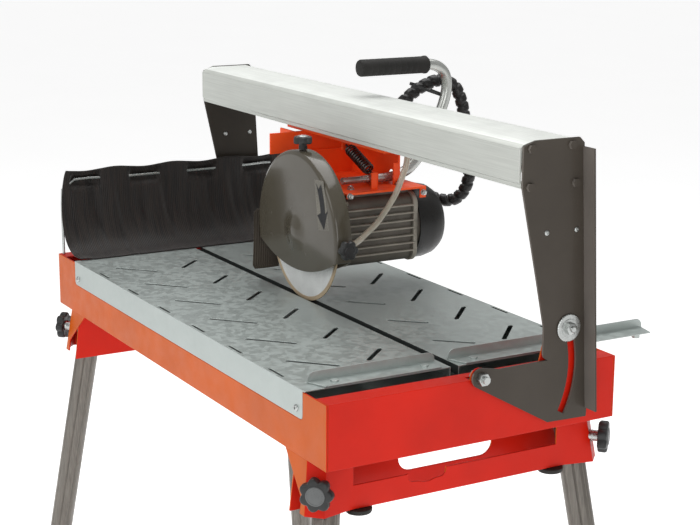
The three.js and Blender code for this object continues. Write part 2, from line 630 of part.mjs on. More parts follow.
add('stator', ring(49.6, 36, 330, 440), copper);
add('rear_end_shield', join(
  ring(61, 21.3, MOTOR.rear + GAP, MOTOR.rear + 10), ring(26, 10, MOTOR.rear + 9, MOTOR.rear + 12),
), castGrey);
add('front_bearing', ring(24, 10.3, MOTOR.front + 8, MOTOR.front + 22, 20), steel);
add('rear_bearing', ring(21, 8.3, MOTOR.rear + GAP, MOTOR.rear + 8.6, 20), steel);

function fanCover() {
  const y = MOTOR.rear;
  const outer = [[0, y + 66], [46, y + 66], [58, y + 62], [66, y + 50], [70, y + 32], [70, y + 2]];
  const inner = [[67, y + 2], [67, y + 31], [63.4, y + 48], [56, y + 59], [46, y + 63], [0, y + 63]];
  const shell = turned([...outer, ...inner].reverse(), BLADE.x, BLADE.z, 36);
  const vents = [];
  for (let i = 0; i < 8; i += 1) {
    const angle = (Math.PI * i) / 4;
    const at = (r) => [BLADE.x + r * Math.cos(angle), BLADE.z + r * Math.sin(angle)];
    vents.push(alongY(slotOutline(at(18), at(38), 4, 2), y + 60, y + 68));
  }
  return cut(shell, ...vents);
}

add('fan_cover', fanCover(), plastic);

// ---- spindle: shaft with rotor and inner flange, blade, outer flange, nut and cooling fan ----
const SPINDLE = { bladeBack: CUT_Y + BLADE.kerf / 2, bladeFront: CUT_Y - BLADE.kerf / 2 };
const back = SPINDLE.bladeBack + GAP;
const faceFront = SPINDLE.bladeFront - GAP;

add('rotor_shaft', turned([
  [0, 252], [10, 252], [10, back], [28, back], [28, back + 6], [10, back + 6], [10, 330], [35, 330], [35, 440],
  [12, 440], [12, 466], [8, 466], [8, 506], [0, 506],
], BLADE.x, BLADE.z, 24), steel);
add('blade', ring(BLADE.radius, 10.3, SPINDLE.bladeFront, SPINDLE.bladeBack, 56), steel);
add('outer_flange', ring(28, 10.3, faceFront - 5, faceFront, 20), steel);
add('arbor_nut', cut(
  alongY(disc(BLADE.x, BLADE.z, 16, 6), faceFront - 13, faceFront - 5 - GAP),
  alongY(disc(BLADE.x, BLADE.z, 10.3, 16), 240, 270),
), steel);

function coolingFan() {
  const y = 486;
  const hub = ring(18, 8.3, y, y + 14, 24);
  const plate = ring(52, 14, y, y + 2, 32);
  const vanes = [];
  for (let i = 0; i < 8; i += 1) {
    const vane = new THREE.BoxGeometry(36, 14, 2.5).translate(33, y + 7, 0).rotateY((Math.PI * i) / 4);
    vanes.push(solid(vane.translate(BLADE.x, 0, BLADE.z)));
  }
  return join(hub, plate, ...vanes);
}

add('cooling_fan', coolingFan(), plastic);

// ---- blade guard: a drum open below, cut along a shallow arc, with two star knobs on its rim ----
function bladeGuard() {
  const { radius, front, back: rear, sheet } = GUARD;
  const { x, z } = BLADE;
  const drum = turned([
    [0, front], [radius - 6, front], [radius - 1.8, front + 1.8], [radius, front + 6], [radius, rear], [0, rear],
  ], x, z, 56);
  const hollow = alongY(disc(x, z, radius - sheet, 56), front + sheet, rear - sheet);
  const dome = turned([
    [0, front - 9], [18, front - 8], [27, front - 5], [33, front + 1], [33, front + sheet], [0, front + sheet],
  ], x, z, 24);
  const mounting = ring(46, 37, rear - 1, MOTOR.front - GAP, 24);
  const domeHollow = alongY(disc(x, z, 24, 24), front - 5.5, front + sheet + 1);
  const below = alongY(outline([...arc(x, 461, 300, 230, 310, 12), [x + 260, -40], [x - 260, -40]].reverse()),
    front - 20, rear + 20);
  const shaftHole = alongY(disc(x, z, 36, 24), rear - sheet - 1, rear + 1);
  return cut(join(cut(join(drum, dome), hollow), mounting), domeHollow, below, shaftHole);
}

add('blade_guard', bladeGuard(), guardPaint);

function guardKnob() {
  const y = 263;
  const { x, z } = BLADE;
  const base = z + GUARD.radius + GAP;
  const star = alongZ(starOutline(x, y, 18, 14.5, 6), base + 12, base + 25);
  const stem = alongZ(disc(x, y, 8, 16), base, base + 13);
  return join(star, stem);
}

function guardSideKnob() {
  const [y, z] = [261, 226];
  const base = BLADE.x + GUARD.radius + GAP;
  const star = alongX(starOutline(y, z, 18, 14.5, 6), base + 12, base + 26);
  const stem = alongX(disc(y, z, 8, 16), base, base + 13);
  return join(star, stem);
}

add('guard_top_knob', guardKnob(), plastic);
add('guard_side_knob', guardSideKnob(), plastic);
add('splash_flap', alongX(outline([
  [247, 130], [296, 130], [296, 243], [248, 243], [240, 236], [240, 137],
]), BLADE.x - GUARD.radius - 4, BLADE.x - GUARD.radius - 1), rubber);

// ---- water hose, cable conduit and switch box of the head ----
const HOSE_ROUTE = [
  [-445, GUARD.back + 1, 221], [-446, 300, 221], [-458, 322, 225], [-474, 346, 232], [-481, 369, 245],
  [-482, 390, 268], [-481, 410, 297], [-480, 422, 325], [-480, 430, 345], [-480, 433, 362],
  [-480, 433, 373], [-480, 433, 383 - GAP],
];
add('water_hose', tube(HOSE_ROUTE, 5.5, 8, 26), clearHose);

const CONDUIT_ROUTE = [
  [-660, 486, 290 + GAP], [-660, 486, 318], [-654, 486, 352], [-641, 487, 388], [-622, 492, 422],
  [-606, 506, 446], [-602, 537, 468], [-593, 572, 480], [-580, 596, 470], [-570, 606, 444],
  [-565, 611, 412], [-562, 618, 370], [-562, 624, 330], [-564, 624, 297], [-571, 617, 268],
  [-582, 603, 252], [-598, 584, 250], [-622, 564, 258], [-645, 548, 267], [-658, 534, 271],
  [-660, 524, 271], [-660, 515 + GAP, 271],
];
add('cable_conduit', tube(CONDUIT_ROUTE, 12, 8, 40), rubber);

function switchBox() {
  const body = block(-690, -631.5, 430, 515, 214, 290);
  const neck = block(-632, BLADE.x - MOTOR.halfWidth - GAP, 440, MOTOR.rear - 2, 226, 280);
  const pocket = block(-691, -684, 450, 484, 238, 268);
  return cut(join(body, neck), pocket);
}

add('switch_box', switchBox(), plastic);
// The rocker stands at its off position; it tips about a line along y behind its middle.
const ROCKER = { x: -686, z: 253, tip: THREE.MathUtils.degToRad(8) };
const rockerPoints = [
  [1, -4], [-2, -12], [-8, -12], [-5.5, 0], [-8, 12], [-2, 12], [1, 4],
].map(([u, v]) => [
  ROCKER.x + u * Math.cos(ROCKER.tip) - v * Math.sin(ROCKER.tip),
  ROCKER.z + u * Math.sin(ROCKER.tip) + v * Math.cos(ROCKER.tip),
]).reverse();
add('switch_rocker', alongY(outline(rockerPoints), 450 + 2 * GAP, 484 - 2 * GAP), plastic);

// ---- stand the machine on its feet, origin under the middle of its bounding box ----
machine.updateMatrixWorld(true);
const bounds = new THREE.Box3().setFromObject(machine);
const middle = bounds.getCenter(new THREE.Vector3());
machine.position.set(-middle.x, -middle.y, -bounds.min.z);

const tileCutter = new THREE.Group();
tileCutter.add(machine);

export default tileCutter;
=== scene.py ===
"""Looks of a bridge tile cutter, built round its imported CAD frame.

Sizes are in millimetres along the machine's own axes, as in the CAD source: x runs along the rail and is 0 at
the near end of the water box, y runs across from the box's left side, z is 0 at the underside of the box.
"""
import math

import bmesh
import bpy
from mathutils import Matrix, Vector


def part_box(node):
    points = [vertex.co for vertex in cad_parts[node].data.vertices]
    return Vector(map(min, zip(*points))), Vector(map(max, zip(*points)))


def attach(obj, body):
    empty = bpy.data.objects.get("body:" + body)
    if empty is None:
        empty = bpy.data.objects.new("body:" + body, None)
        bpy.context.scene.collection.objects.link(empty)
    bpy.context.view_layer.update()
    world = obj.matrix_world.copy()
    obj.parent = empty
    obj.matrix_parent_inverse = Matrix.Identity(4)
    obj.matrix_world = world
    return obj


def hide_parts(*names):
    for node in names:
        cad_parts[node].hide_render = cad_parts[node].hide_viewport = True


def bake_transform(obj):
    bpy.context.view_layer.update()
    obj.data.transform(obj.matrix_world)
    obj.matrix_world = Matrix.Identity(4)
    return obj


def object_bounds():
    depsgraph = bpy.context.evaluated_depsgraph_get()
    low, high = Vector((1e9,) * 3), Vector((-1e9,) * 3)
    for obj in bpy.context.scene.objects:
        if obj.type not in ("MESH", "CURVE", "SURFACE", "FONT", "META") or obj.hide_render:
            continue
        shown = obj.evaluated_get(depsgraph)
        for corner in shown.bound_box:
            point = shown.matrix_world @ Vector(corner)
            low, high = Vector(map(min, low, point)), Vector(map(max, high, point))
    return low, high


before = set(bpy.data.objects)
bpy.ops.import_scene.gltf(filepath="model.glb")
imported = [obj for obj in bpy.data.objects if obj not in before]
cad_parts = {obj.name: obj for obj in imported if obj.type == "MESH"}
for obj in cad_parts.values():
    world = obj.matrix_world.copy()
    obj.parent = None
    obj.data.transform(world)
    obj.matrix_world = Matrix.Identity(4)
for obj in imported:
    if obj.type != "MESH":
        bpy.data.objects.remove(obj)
CAD_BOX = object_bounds()

# ---- machine dimensions that pieces share ----
MM = 0.001
BOX_LENGTH = 1118
BOX_WIDTH = 532
TABLE_TOP = 106
CUT_Y = 266
FLOOR = -694
BLADE_X, BLADE_Z, BLADE_RADIUS = -559, 227, 125
GUARD_RADIUS, GUARD_FRONT, GUARD_BACK = 149, 247, 278.5
SADDLE_TOP = 302
LEG_X, LEG_Y, SPLAY_X, SPLAY_Y, LEG_RADIUS = -71.5, 44.5, 0.135, 0.129, 22.5
CLAMP_Z = -42
CLAMP_RADIUS, CLAMP_ANGLE = 172.4, math.radians(20)
HANDLE_X, HANDLE_RADIUS = -559, 10
GUARD_KNOB_Y, GUARD_KNOB_Z = 261, 226
RAIL_SCREW_Z, RAIL_SCREW_YS = 321, (380, 437)

# ---- camera and studio, in metres and degrees of the frame ----
CAMERA_PLACE = (2.4883, -1.37544, 1.5309)
CAMERA_AZIMUTH, CAMERA_ELEVATION, CAMERA_ROLL = 59.968, 13.266, 0.38
CAMERA_LENS, CAMERA_SENSOR = 82.51, 36
FLOOR_REACH, FLOOR_DROP, FLOOR_GLOW = 30, 0.0005, 0.55
WORLD_LIGHT, WORLD_SEEN = 0.42, 1.0

panel_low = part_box("left_side_panel")[0]
ORIGIN = Vector((panel_low.x + BOX_LENGTH * MM, panel_low.y, panel_low.z))


def at(x, y, z):
    """A machine point in millimetres as a point of the frame in metres."""
    return ORIGIN + Vector((x, y, z)) * MM


def shown(name, data):
    """A new object of the scene."""
    made = bpy.data.objects.new(name, data)
    bpy.context.scene.collection.objects.link(made)
    return made


# ---- camera ----
def make_camera():
    azimuth, elevation = math.radians(CAMERA_AZIMUTH), math.radians(CAMERA_ELEVATION)
    roll = math.radians(CAMERA_ROLL)
    level = math.cos(elevation)
    back = Vector((math.sin(azimuth) * level, -math.cos(azimuth) * level, math.sin(elevation)))
    level_right = Vector((0, 0, 1)).cross(back).normalized()
    level_up = back.cross(level_right)
    right = math.cos(roll) * level_right + math.sin(roll) * level_up
    up = math.cos(roll) * level_up - math.sin(roll) * level_right
    camera = shown("camera", bpy.data.cameras.new("camera"))
    camera.data.lens = CAMERA_LENS
    camera.data.sensor_width = CAMERA_SENSOR
    turn = Matrix((right, up, back)).transposed()
    camera.matrix_world = Matrix.Translation(CAMERA_PLACE) @ turn.to_4x4()
    bpy.context.scene.camera = camera


make_camera()


# ---- materials ----
class Finish:
    """A node material with short calls for the nodes that its look needs."""

    def __init__(self, name, roughness=0.5, metallic=0.0, coat=0.0, coat_roughness=0.1):
        self.material = bpy.data.materials.new(name)
        self.material.use_nodes = True
        self.tree = self.material.node_tree
        self.shader = self.tree.nodes["Principled BSDF"]
        self.shader.inputs["Roughness"].default_value = roughness
        self.shader.inputs["Metallic"].default_value = metallic
        self.shader.inputs["Coat Weight"].default_value = coat
        self.shader.inputs["Coat Roughness"].default_value = coat_roughness
        self.place = self.node("ShaderNodeTexCoord").outputs["Object"]

    def node(self, kind, settings=None, **inputs):
        made = self.tree.nodes.new(kind)
        for key, value in (settings or {}).items():
            setattr(made, key, value)
        for key, value in inputs.items():
            self.plug(made.inputs[key.replace("_", " ")], value)
        return made

    def plug(self, socket, value):
        if isinstance(value, bpy.types.NodeSocket):
            self.tree.links.new(value, socket)
        else:
            socket.default_value = value

    def stretched(self, x, y, z):
        return self.node("ShaderNodeMapping", Vector=self.place, Scale=(x, y, z)).outputs["Vector"]

    def noise(self, scale, detail, vector=None):
        made = self.node("ShaderNodeTexNoise", Vector=vector or self.place, Scale=scale, Detail=detail)
        return made.outputs["Fac"]

    def cells(self, scale):
        """A random colour for each cell."""
        return self.node("ShaderNodeTexVoronoi", Vector=self.place, Scale=scale).outputs["Color"]

    def ramp(self, factor, *stops):
        made = self.node("ShaderNodeValToRGB", Fac=factor)
        elements = made.color_ramp.elements
        while len(elements) < len(stops):
            elements.new(1.0)
        for element, (position, colour) in zip(elements, stops):
            element.position = position
            element.color = (*colour, 1.0)
        return made.outputs["Color"]

    def tones(self, factor, colour, dark, light, start=0.3, end=0.7):
        """Shades of one colour, from dark to light times it."""
        return self.ramp(factor, (start, shade(colour, dark)), (end, shade(colour, light)))

    def span(self, factor, low, high):
        """A number that runs from low to high as factor runs over the usual range of a noise."""
        made = self.node("ShaderNodeMapRange", Value=factor)
        made.inputs["From Min"].default_value = 0.3
        made.inputs["From Max"].default_value = 0.7
        made.inputs["To Min"].default_value = low
        made.inputs["To Max"].default_value = high
        return made.outputs["Result"]

    def mix(self, factor, one, other):
        """Two colours mixed; sockets 0, 6, 7 and output 2 are the colour ones of a Mix node."""
        made = self.node("ShaderNodeMix", {"data_type": "RGBA"})
        self.plug(made.inputs[0], factor)
        self.plug(made.inputs[6], one)
        self.plug(made.inputs[7], other)
        return made.outputs[2]

    def colour(self, value):
        self.plug(self.shader.inputs["Base Color"], value)

    def rough(self, value):
        self.plug(self.shader.inputs["Roughness"], value)

    def bump(self, height, distance, strength):
        """Surface relief of the given depth in metres, laid over any relief before it."""
        chain = self.shader.inputs["Normal"].links
        made = self.node("ShaderNodeBump", Height=height, Distance=distance, Strength=strength)
        if chain:
            self.plug(made.inputs["Normal"], chain[0].from_socket)
        self.plug(self.shader.inputs["Normal"], made.outputs["Normal"])


def srgb(red, green, blue):
    """An 8-bit colour as the linear colour that a shader takes."""
    parts = []
    for level in (red, green, blue):
        share = level / 255
        parts.append(share / 12.92 if share <= 0.04045 else ((share + 0.055) / 1.055) ** 2.4)
    return tuple(parts)


def shade(colour, factor):
    return tuple(min(1.0, part * factor) for part in colour)


def powder_coat(name, colour, roughness, coat, texture=620.0, depth=0.0003):
    """Paint with orange peel, soft patches of tone and uneven gloss."""
    look = Finish(name, roughness, coat=coat, coat_roughness=0.12)
    patches = look.noise(9.0, 4.0)
    look.colour(look.tones(patches, colour, 0.9, 1.07))
    look.rough(look.span(look.noise(38.0, 5.0), roughness - 0.07, roughness + 0.08))
    look.bump(look.noise(texture, 2.0), depth, 0.5)
    look.shader.inputs["Specular IOR Level"].default_value = 0.16
    return look.material


def zinc_sheet(name, colour):
    """Hot dip galvanised sheet with its spangle and faint rolling lines."""
    look = Finish(name, 0.36, metallic=0.6)
    grains = look.node("ShaderNodeSeparateColor", Color=look.cells(105.0)).outputs["Red"]
    wide = look.noise(14.0, 4.0)
    spangle = look.tones(grains, colour, 0.93, 1.07, 0.0, 1.0)
    stained = look.tones(wide, colour, 0.95, 1.04, 0.32, 0.68)
    look.colour(look.mix(0.5, spangle, stained))
    look.rough(look.span(grains, 0.34, 0.44))
    look.bump(look.noise(90.0, 3.0), 0.00006, 0.15)
    return look.material


def drawn_metal(name, colour, roughness, metallic, lines, depth=0.00012):
    """Metal with fine lines along one axis, such as an extrusion or a rolled bar."""
    look = Finish(name, roughness, metallic=metallic)
    streaks = look.noise(60.0, 4.0, look.stretched(*lines))
    look.colour(look.tones(streaks, colour, 0.92, 1.06))
    look.rough(look.span(look.noise(24.0, 4.0), roughness - 0.05, roughness + 0.07))
    look.bump(streaks, depth, 0.6)
    return look.material


def bright_steel(name, colour, roughness):
    look = Finish(name, roughness, metallic=1.0)
    smears = look.noise(70.0, 5.0)
    look.colour(look.tones(smears, colour, 0.88, 1.05))
    look.rough(look.span(look.noise(190.0, 3.0), roughness - 0.06, roughness + 0.1))
    look.bump(smears, 0.0001, 0.3)
    return look.material


def casting(name, colour):
    """Painted sand casting: fine pits under a worn coat."""
    look = Finish(name, 0.46, metallic=0.35)
    pits = look.noise(420.0, 5.0)
    wear = look.noise(30.0, 5.0)
    look.colour(look.tones(wear, colour, 0.82, 1.16, 0.3, 0.72))
    look.rough(look.span(pits, 0.38, 0.6))
    look.bump(pits, 0.0006, 0.5)
    return look.material


def moulded(name, colour, roughness, grain=500.0, depth=0.0003):
    look = Finish(name, roughness)
    fine = look.noise(grain, 3.0)
    dust = look.noise(22.0, 4.0)
    look.colour(look.tones(dust, colour, 0.8, 1.25))
    look.rough(look.span(fine, roughness - 0.08, roughness + 0.1))
    look.bump(fine, depth, 0.4)
    look.shader.inputs["Specular IOR Level"].default_value = 0.35
    return look.material


def curtain_rubber():
    """Ribbed rubber cloth: fine ribs down the sheet, with chalky streaks along them."""
    look = Finish("curtain_rubber", 0.5)
    look.shader.inputs["Sheen Weight"].default_value = 0.15
    ribs = look.node(
        "ShaderNodeTexWave", {"bands_direction": "Y"},
        Vector=look.place, Scale=85.0, Distortion=0.6, Detail=2.0,
    ).outputs["Fac"]
    streaks = look.noise(26.0, 4.0, look.stretched(0.4, 7, 0.6))
    dark, light = srgb(15, 10, 8), srgb(40, 32, 27)
    look.shader.inputs["Specular IOR Level"].default_value = 0.3
    look.colour(look.ramp(streaks, (0.35, dark), (0.72, light)))
    look.rough(look.span(streaks, 0.42, 0.62))
    look.bump(ribs, 0.0006, 0.7)
    look.bump(look.noise(500.0, 2.0), 0.0003, 0.3)
    return look.material


def fluted_paint():
    """Satin leg tube with drawing lines down its length."""
    look = Finish("leg_paint", 0.38, metallic=0.45, coat=0.15)
    streaks = look.noise(30.0, 4.0, look.stretched(12, 12, 0.5))
    tone = srgb(114, 109, 102)
    look.colour(look.tones(streaks, tone, 0.78, 1.15))
    look.rough(look.span(look.noise(60.0, 5.0), 0.3, 0.5))
    look.bump(streaks, 0.0003, 0.5)
    return look.material


def ground_blade(name, colour, metallic, roughness):
    """A disc with rings from grinding about the spindle."""
    look = Finish(name, roughness, metallic=metallic)
    centre = at(BLADE_X, CUT_Y, BLADE_Z)
    local = look.node("ShaderNodeVectorMath", {"operation": "SUBTRACT"})
    look.plug(local.inputs[0], look.place)
    local.inputs[1].default_value = centre
    rings = look.node(
        "ShaderNodeTexWave", {"wave_type": "RINGS", "rings_direction": "Y"},
        Vector=local.outputs["Vector"], Scale=230.0, Distortion=0.8, Detail=2.0,
    ).outputs["Fac"]
    cloud = look.noise(26.0, 4.0)
    look.colour(look.tones(cloud, colour, 0.86, 1.08))
    look.rough(look.span(rings, roughness - 0.08, roughness + 0.1))
    look.bump(rings, 0.00012, 0.5)
    return look.material


def clear_tube():
    look = Finish("clear_hose", 0.16)
    look.shader.inputs["Transmission Weight"].default_value = 0.35
    look.shader.inputs["IOR"].default_value = 1.42
    tone = srgb(206, 200, 182)
    cloudy = look.noise(45.0, 3.0)
    look.colour(look.tones(cloudy, tone, 0.85, 1.08))
    look.rough(look.span(cloudy, 0.12, 0.28))
    look.bump(look.noise(160.0, 2.0), 0.0002, 0.3)
    return look.material


RED = srgb(205, 30, 10)
# The second red is the red paint made lighter and oranger: painted light for the box's left-facing faces, the
# side the light falls on.
LIT_LEFT_ORANGE = srgb(200, 88, 4)
LOOKS = {
    "red": powder_coat("red_paint", RED, 0.4, 0.06),
    "orange": powder_coat("red_paint_painted_light_left_faces", LIT_LEFT_ORANGE, 0.4, 0.05),
    # A lighter, oranger copy of the red paint: painted light that makes the carriage and head arm look lit.
    "head_red_painted_light": powder_coat("red_paint_head_painted_light", srgb(250, 88, 34), 0.36, 0.12),
    "plate": powder_coat("grey_paint", srgb(72, 66, 59), 0.45, 0.1, 900.0, 0.0005),
    # A lighter copy of the grey plate paint for left-facing faces: painted light on that side.
    "plate_painted_light": powder_coat("grey_paint_painted_light_left_faces", srgb(112, 106, 100), 0.45, 0.1, 900.0, 0.0005),
    # A darker copy of the grey plate paint for the far end plate: painted shade.
    "plate_painted_shade": powder_coat("grey_paint_painted_shade_far_end", srgb(54, 49, 43), 0.45, 0.05, 900.0, 0.0005),
    "guard": powder_coat("guard_paint", srgb(79, 74, 63), 0.2, 0.6, 700.0, 0.00015),
    "leg": fluted_paint(),
    "galvanised": zinc_sheet("galvanised", srgb(176, 184, 181)),
    # A dark copy of the galvanised finish for the slot side of the right table: painted shade in the slot
    # between the tables.
    "zinc_painted_shade": zinc_sheet("galvanised_painted_shade_slot_side", srgb(70, 74, 73)),
    "zinc": bright_steel("zinc_steel", srgb(186, 189, 187), 0.28),
    "handle": drawn_metal("handle_chrome", srgb(182, 184, 180), 0.26, 0.75, (1, 4, 4)),
    "rail": drawn_metal("aluminium", srgb(198, 201, 195), 0.4, 0.35, (0.15, 9, 9), 0.00004),
    # A lighter copy of the aluminium for the rail's top faces: painted light from above.
    "rail_top_painted_light": drawn_metal("aluminium_painted_light_top", srgb(232, 235, 230), 0.4, 0.25, (0.15, 9, 9), 0.00004),
    "blade": ground_blade("blade_steel", srgb(238, 238, 237), 0.35, 0.3),
    "rim": ground_blade("diamond_rim", srgb(204, 182, 152), 0.6, 0.45),
    "cast": casting("motor_cast", srgb(146, 140, 129)),
    # A darker copy of the motor casting for the housing, while the fins take the lighter one: painted shade
    # between the fins.
    "cast_painted_shade": casting("motor_cast_painted_shade", srgb(92, 87, 79)),
    "copper": bright_steel("copper_winding", srgb(170, 100, 62), 0.4),
    "rubber": moulded("rubber", srgb(33, 31, 28), 0.62),
    "foam": moulded("foam_grip", srgb(34, 33, 31), 0.72, 900.0, 0.0006),
    "plastic": moulded("black_plastic", srgb(44, 45, 45), 0.38),
    "cover": moulded("fan_cover_plastic", srgb(19, 18, 16), 0.34),
    "conduit": moulded("conduit_wrap", srgb(34, 33, 33), 0.3),
    # Grey knob cap, made lighter to stand for the sheen on it: partly the cap's own grey, partly a painted
    # highlight.
    "cap": moulded("knob_cap_with_painted_sheen", srgb(96, 98, 98), 0.32),
    "spring": bright_steel("spring_black", srgb(84, 82, 80), 0.3),
    "hook": moulded("red_plastic", srgb(178, 30, 24), 0.35),
    "decal": moulded("guard_arrow", srgb(10, 11, 16), 0.42),
    "patch": moulded("guard_arrow_patch", srgb(104, 100, 90), 0.24),
    "flap": moulded("flap_rubber", srgb(74, 66, 57), 0.6),
    "curtain": curtain_rubber(),
    "hose": clear_tube(),
}


# ---- CAD nodes keep their shape and get rounded edges and a finish ----
LEFT, UP = Vector((0, -1, 0)), Vector((0, 0, 1))


def dress(node, look, edge, facing=(), flatten=True):
    """Finish and edge rounding of one CAD node.

    facing lists (direction, look) pairs, for flat faces that face that way; their look is painted light or
    painted shade, a lighter or darker copy of the finish for how light falls on that side.
    """
    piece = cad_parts[node]
    mesh = piece.data
    mesh.materials.clear()
    for name in (look, *(other for _, other in facing)):
        mesh.materials.append(LOOKS[name])
    for face in mesh.polygons:
        face.use_smooth = True
        toward = [i + 1 for i, (way, _) in enumerate(facing) if face.normal.dot(way) > 0.8]
        face.material_index = toward[0] if toward else 0
    if "custom_normal" in mesh.attributes:
        mesh.attributes.remove(mesh.attributes["custom_normal"])
    weld = piece.modifiers.new("weld", "WELD")
    weld.merge_threshold = 0.00002
    if flatten:
        whole = piece.modifiers.new("flat_faces", "DECIMATE")
        whole.decimate_type = "DISSOLVE"
        whole.angle_limit = math.radians(1.5)
        whole.delimit = {"MATERIAL"}
    bevel = piece.modifiers.new("edges", "BEVEL")
    bevel.width = edge * MM
    bevel.segments = 2
    bevel.limit_method = "ANGLE"
    bevel.angle_limit = math.radians(32)
    bevel.harden_normals = True
    bevel.use_clamp_overlap = not flatten


# The box's left-facing faces take the orange copy of the red paint: painted light on that side.
for node in (
    "left_side_panel", "right_side_panel", "near_end_panel", "far_end_panel",
    "near_leg_frame", "far_leg_frame",
):
    dress(node, "red", 1.0, [(LEFT, "orange")])
# The carriage and head arm take the lighter copy of the red paint: painted light.
for node in ("carriage", "head_arm"):
    dress(node, "head_red_painted_light", 0.6)
for node in ("water_tray", "left_table_plate", "left_fence", "right_fence"):
    dress(node, "galvanised", 0.5)
# The right table's left-facing faces, the slot side, take the dark galvanised copy: painted shade.
dress("right_table_plate", "galvanised", 0.5, [(LEFT, "zinc_painted_shade")])
# Left-facing faces of the near end plate take the lighter grey: painted light.
dress("near_end_plate", "plate", 0.8, [(LEFT, "plate_painted_light")], flatten=False)
# The far end plate takes the darker copy of the grey paint: painted shade.
dress("far_end_plate", "plate_painted_shade", 0.8, flatten=False)
for node in (
    "curtain_hoop", "near_pivot_bolt", "far_pivot_bolt", "near_roller_set", "far_roller_set",
    "head_hinge_pin", "front_bearing", "rear_bearing", "rotor_shaft", "outer_flange", "arbor_nut",
):
    dress(node, "zinc", 0.4)
# The rail's upward faces take the lighter aluminium: painted light on the top.
dress("rail", "rail", 0.8, [(UP, "rail_top_painted_light")])
# The housing takes the darker copy of the casting: painted shade between the fins.
dress("motor_housing", "cast_painted_shade", 0.5)
dress("rear_end_shield", "cast", 0.5)
dress("fan_cover", "cover", 0.8)
dress("stator", "copper", 0.4)
dress("cooling_fan", "plastic", 0.4)
dress("switch_box", "plastic", 1.6)
dress("switch_rocker", "hook", 0.6)
dress("drain_plug", "rubber", 0.8)


# ---- mesh building ----
class Shell:
    """Points and faces of one piece, gathered from several closed shells."""

    def __init__(self):
        self.points, self.faces, self.marks = [], [], []

    def rings(self, rings, mark=0, capped=True):
        """Skins a list of rings with the same number of points, and closes both ends."""
        start, count = len(self.points), len(rings[0])
        for ring in rings:
            self.points += [Vector(p) for p in ring]
        for i in range(len(rings) - 1):
            low, high = start + i * count, start + (i + 1) * count
            for j in range(count):
                k = (j + 1) % count
                self.face((low + j, low + k, high + k, high + j), mark)
        if capped:
            last = start + (len(rings) - 1) * count
            self.face(tuple(start + j for j in reversed(range(count))), mark)
            self.face(tuple(last + j for j in range(count)), mark)

    def face(self, corners, mark=0):
        self.faces.append(corners)
        self.marks.append(mark)


def piece_from(shell, name, body, looks, replaces=(), smooth_angle=38.0):
    mesh = bpy.data.meshes.new(name)
    mesh.from_pydata([at(*p) for p in shell.points], [], shell.faces)
    for look in looks:
        mesh.materials.append(LOOKS[look])
    for face, mark in zip(mesh.polygons, shell.marks):
        face.material_index = mark
    edit = bmesh.new()
    edit.from_mesh(mesh)
    bmesh.ops.recalc_face_normals(edit, faces=edit.faces)
    edit.to_mesh(mesh)
    edit.free()
    mesh.shade_smooth()
    mesh.set_sharp_from_angle(angle=math.radians(smooth_angle))
    piece = shown(name, mesh)
    if body:
        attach(piece, body)
    if replaces:
        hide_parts(*replaces)
    return piece


def pointing(origin, axis, roll=0.0):
    """A placement whose local z looks along axis."""
    heading = Vector(axis).normalized()
    helper = Vector((0, 0, 1)) if abs(heading.z) < 0.9 else Vector((1, 0, 0))
    side = helper.cross(heading).normalized()
    up = heading.cross(side)
    turn = Matrix((side, up, heading)).transposed() @ Matrix.Rotation(roll, 3, "Z")
    return Matrix.Translation(origin) @ turn.to_4x4()


def circle(radius, height, count, wave=None):
    points = []
    for i in range(count):
        angle = 2 * math.pi * i / count
        reach = radius if wave is None else wave(angle, radius)
        points.append((reach * math.cos(angle), reach * math.sin(angle), height))
    return points


def circles(place, profile, count, wave=None):
    """A placed circle for each (radius, height) of a profile."""
    return [[place @ Vector(p) for p in circle(r, h, count, wave)] for r, h in profile]


def turned(shell, place, profile, count=48, mark=0, wave=None):
    """A body turned about the placement's z; its profile runs from the axis outward and back to the axis."""
    open_profile = [(max(radius, 0.01), height) for radius, height in profile]
    shell.rings(circles(place, open_profile, count, wave), mark)


def rounded(radius, low, high, edge):
    """Profile of a disc with rounded edges."""
    return [
        (0, low), (radius - edge, low), (radius - 0.3 * edge, low + 0.3 * edge), (radius, low + edge),
        (radius, high - edge), (radius - 0.3 * edge, high - 0.3 * edge), (radius - edge, high), (0, high),
    ]


def hexagon(shell, place, across, low, high):
    """A hex head or nut with its chamfer."""
    corner = across / math.sqrt(3)
    chamfer = 0.16 * corner
    profile = [(corner, low), (corner, high - chamfer * 0.6), (corner - chamfer, high)]
    shell.rings(circles(place, profile, 6))


def smooth_route(points, step):
    """Points about step apart on a centripetal Catmull-Rom curve through the given points."""
    knots = [Vector(p) for p in points]
    knots = [2 * knots[0] - knots[1], *knots, 2 * knots[-1] - knots[-2]]
    route = []
    for i in range(1, len(knots) - 2):
        a, b, c, d = knots[i - 1:i + 3]
        ta = 0.0
        tb = ta + (b - a).length ** 0.5
        tc = tb + (c - b).length ** 0.5
        td = tc + (d - c).length ** 0.5
        count = max(1, round((c - b).length / step))
        for k in range(count):
            t = tb + (tc - tb) * k / count
            ab = a.lerp(b, (t - ta) / (tb - ta))
            bc = b.lerp(c, (t - tb) / (tc - tb))
            cd = c.lerp(d, (t - tc) / (td - tc))
            abc = ab.lerp(bc, (t - ta) / (tc - ta))
            bcd = bc.lerp(cd, (t - tb) / (td - tb))
            route.append(abc.lerp(bcd, (t - tb) / (tc - tb)))
    route.append(knots[-2])
    return route


def frames_along(route):
    """A side and an up direction at each point, carried along without twist."""
    headings = []
    for i in range(len(route)):
        before, after = route[max(i - 1, 0)], route[min(i + 1, len(route) - 1)]
        headings.append((after - before).normalized())
    side = headings[0].orthogonal().normalized()
    found = []
    for heading in headings:
        side = (side - heading * side.dot(heading)).normalized()
        found.append((side, heading.cross(side)))
    return found


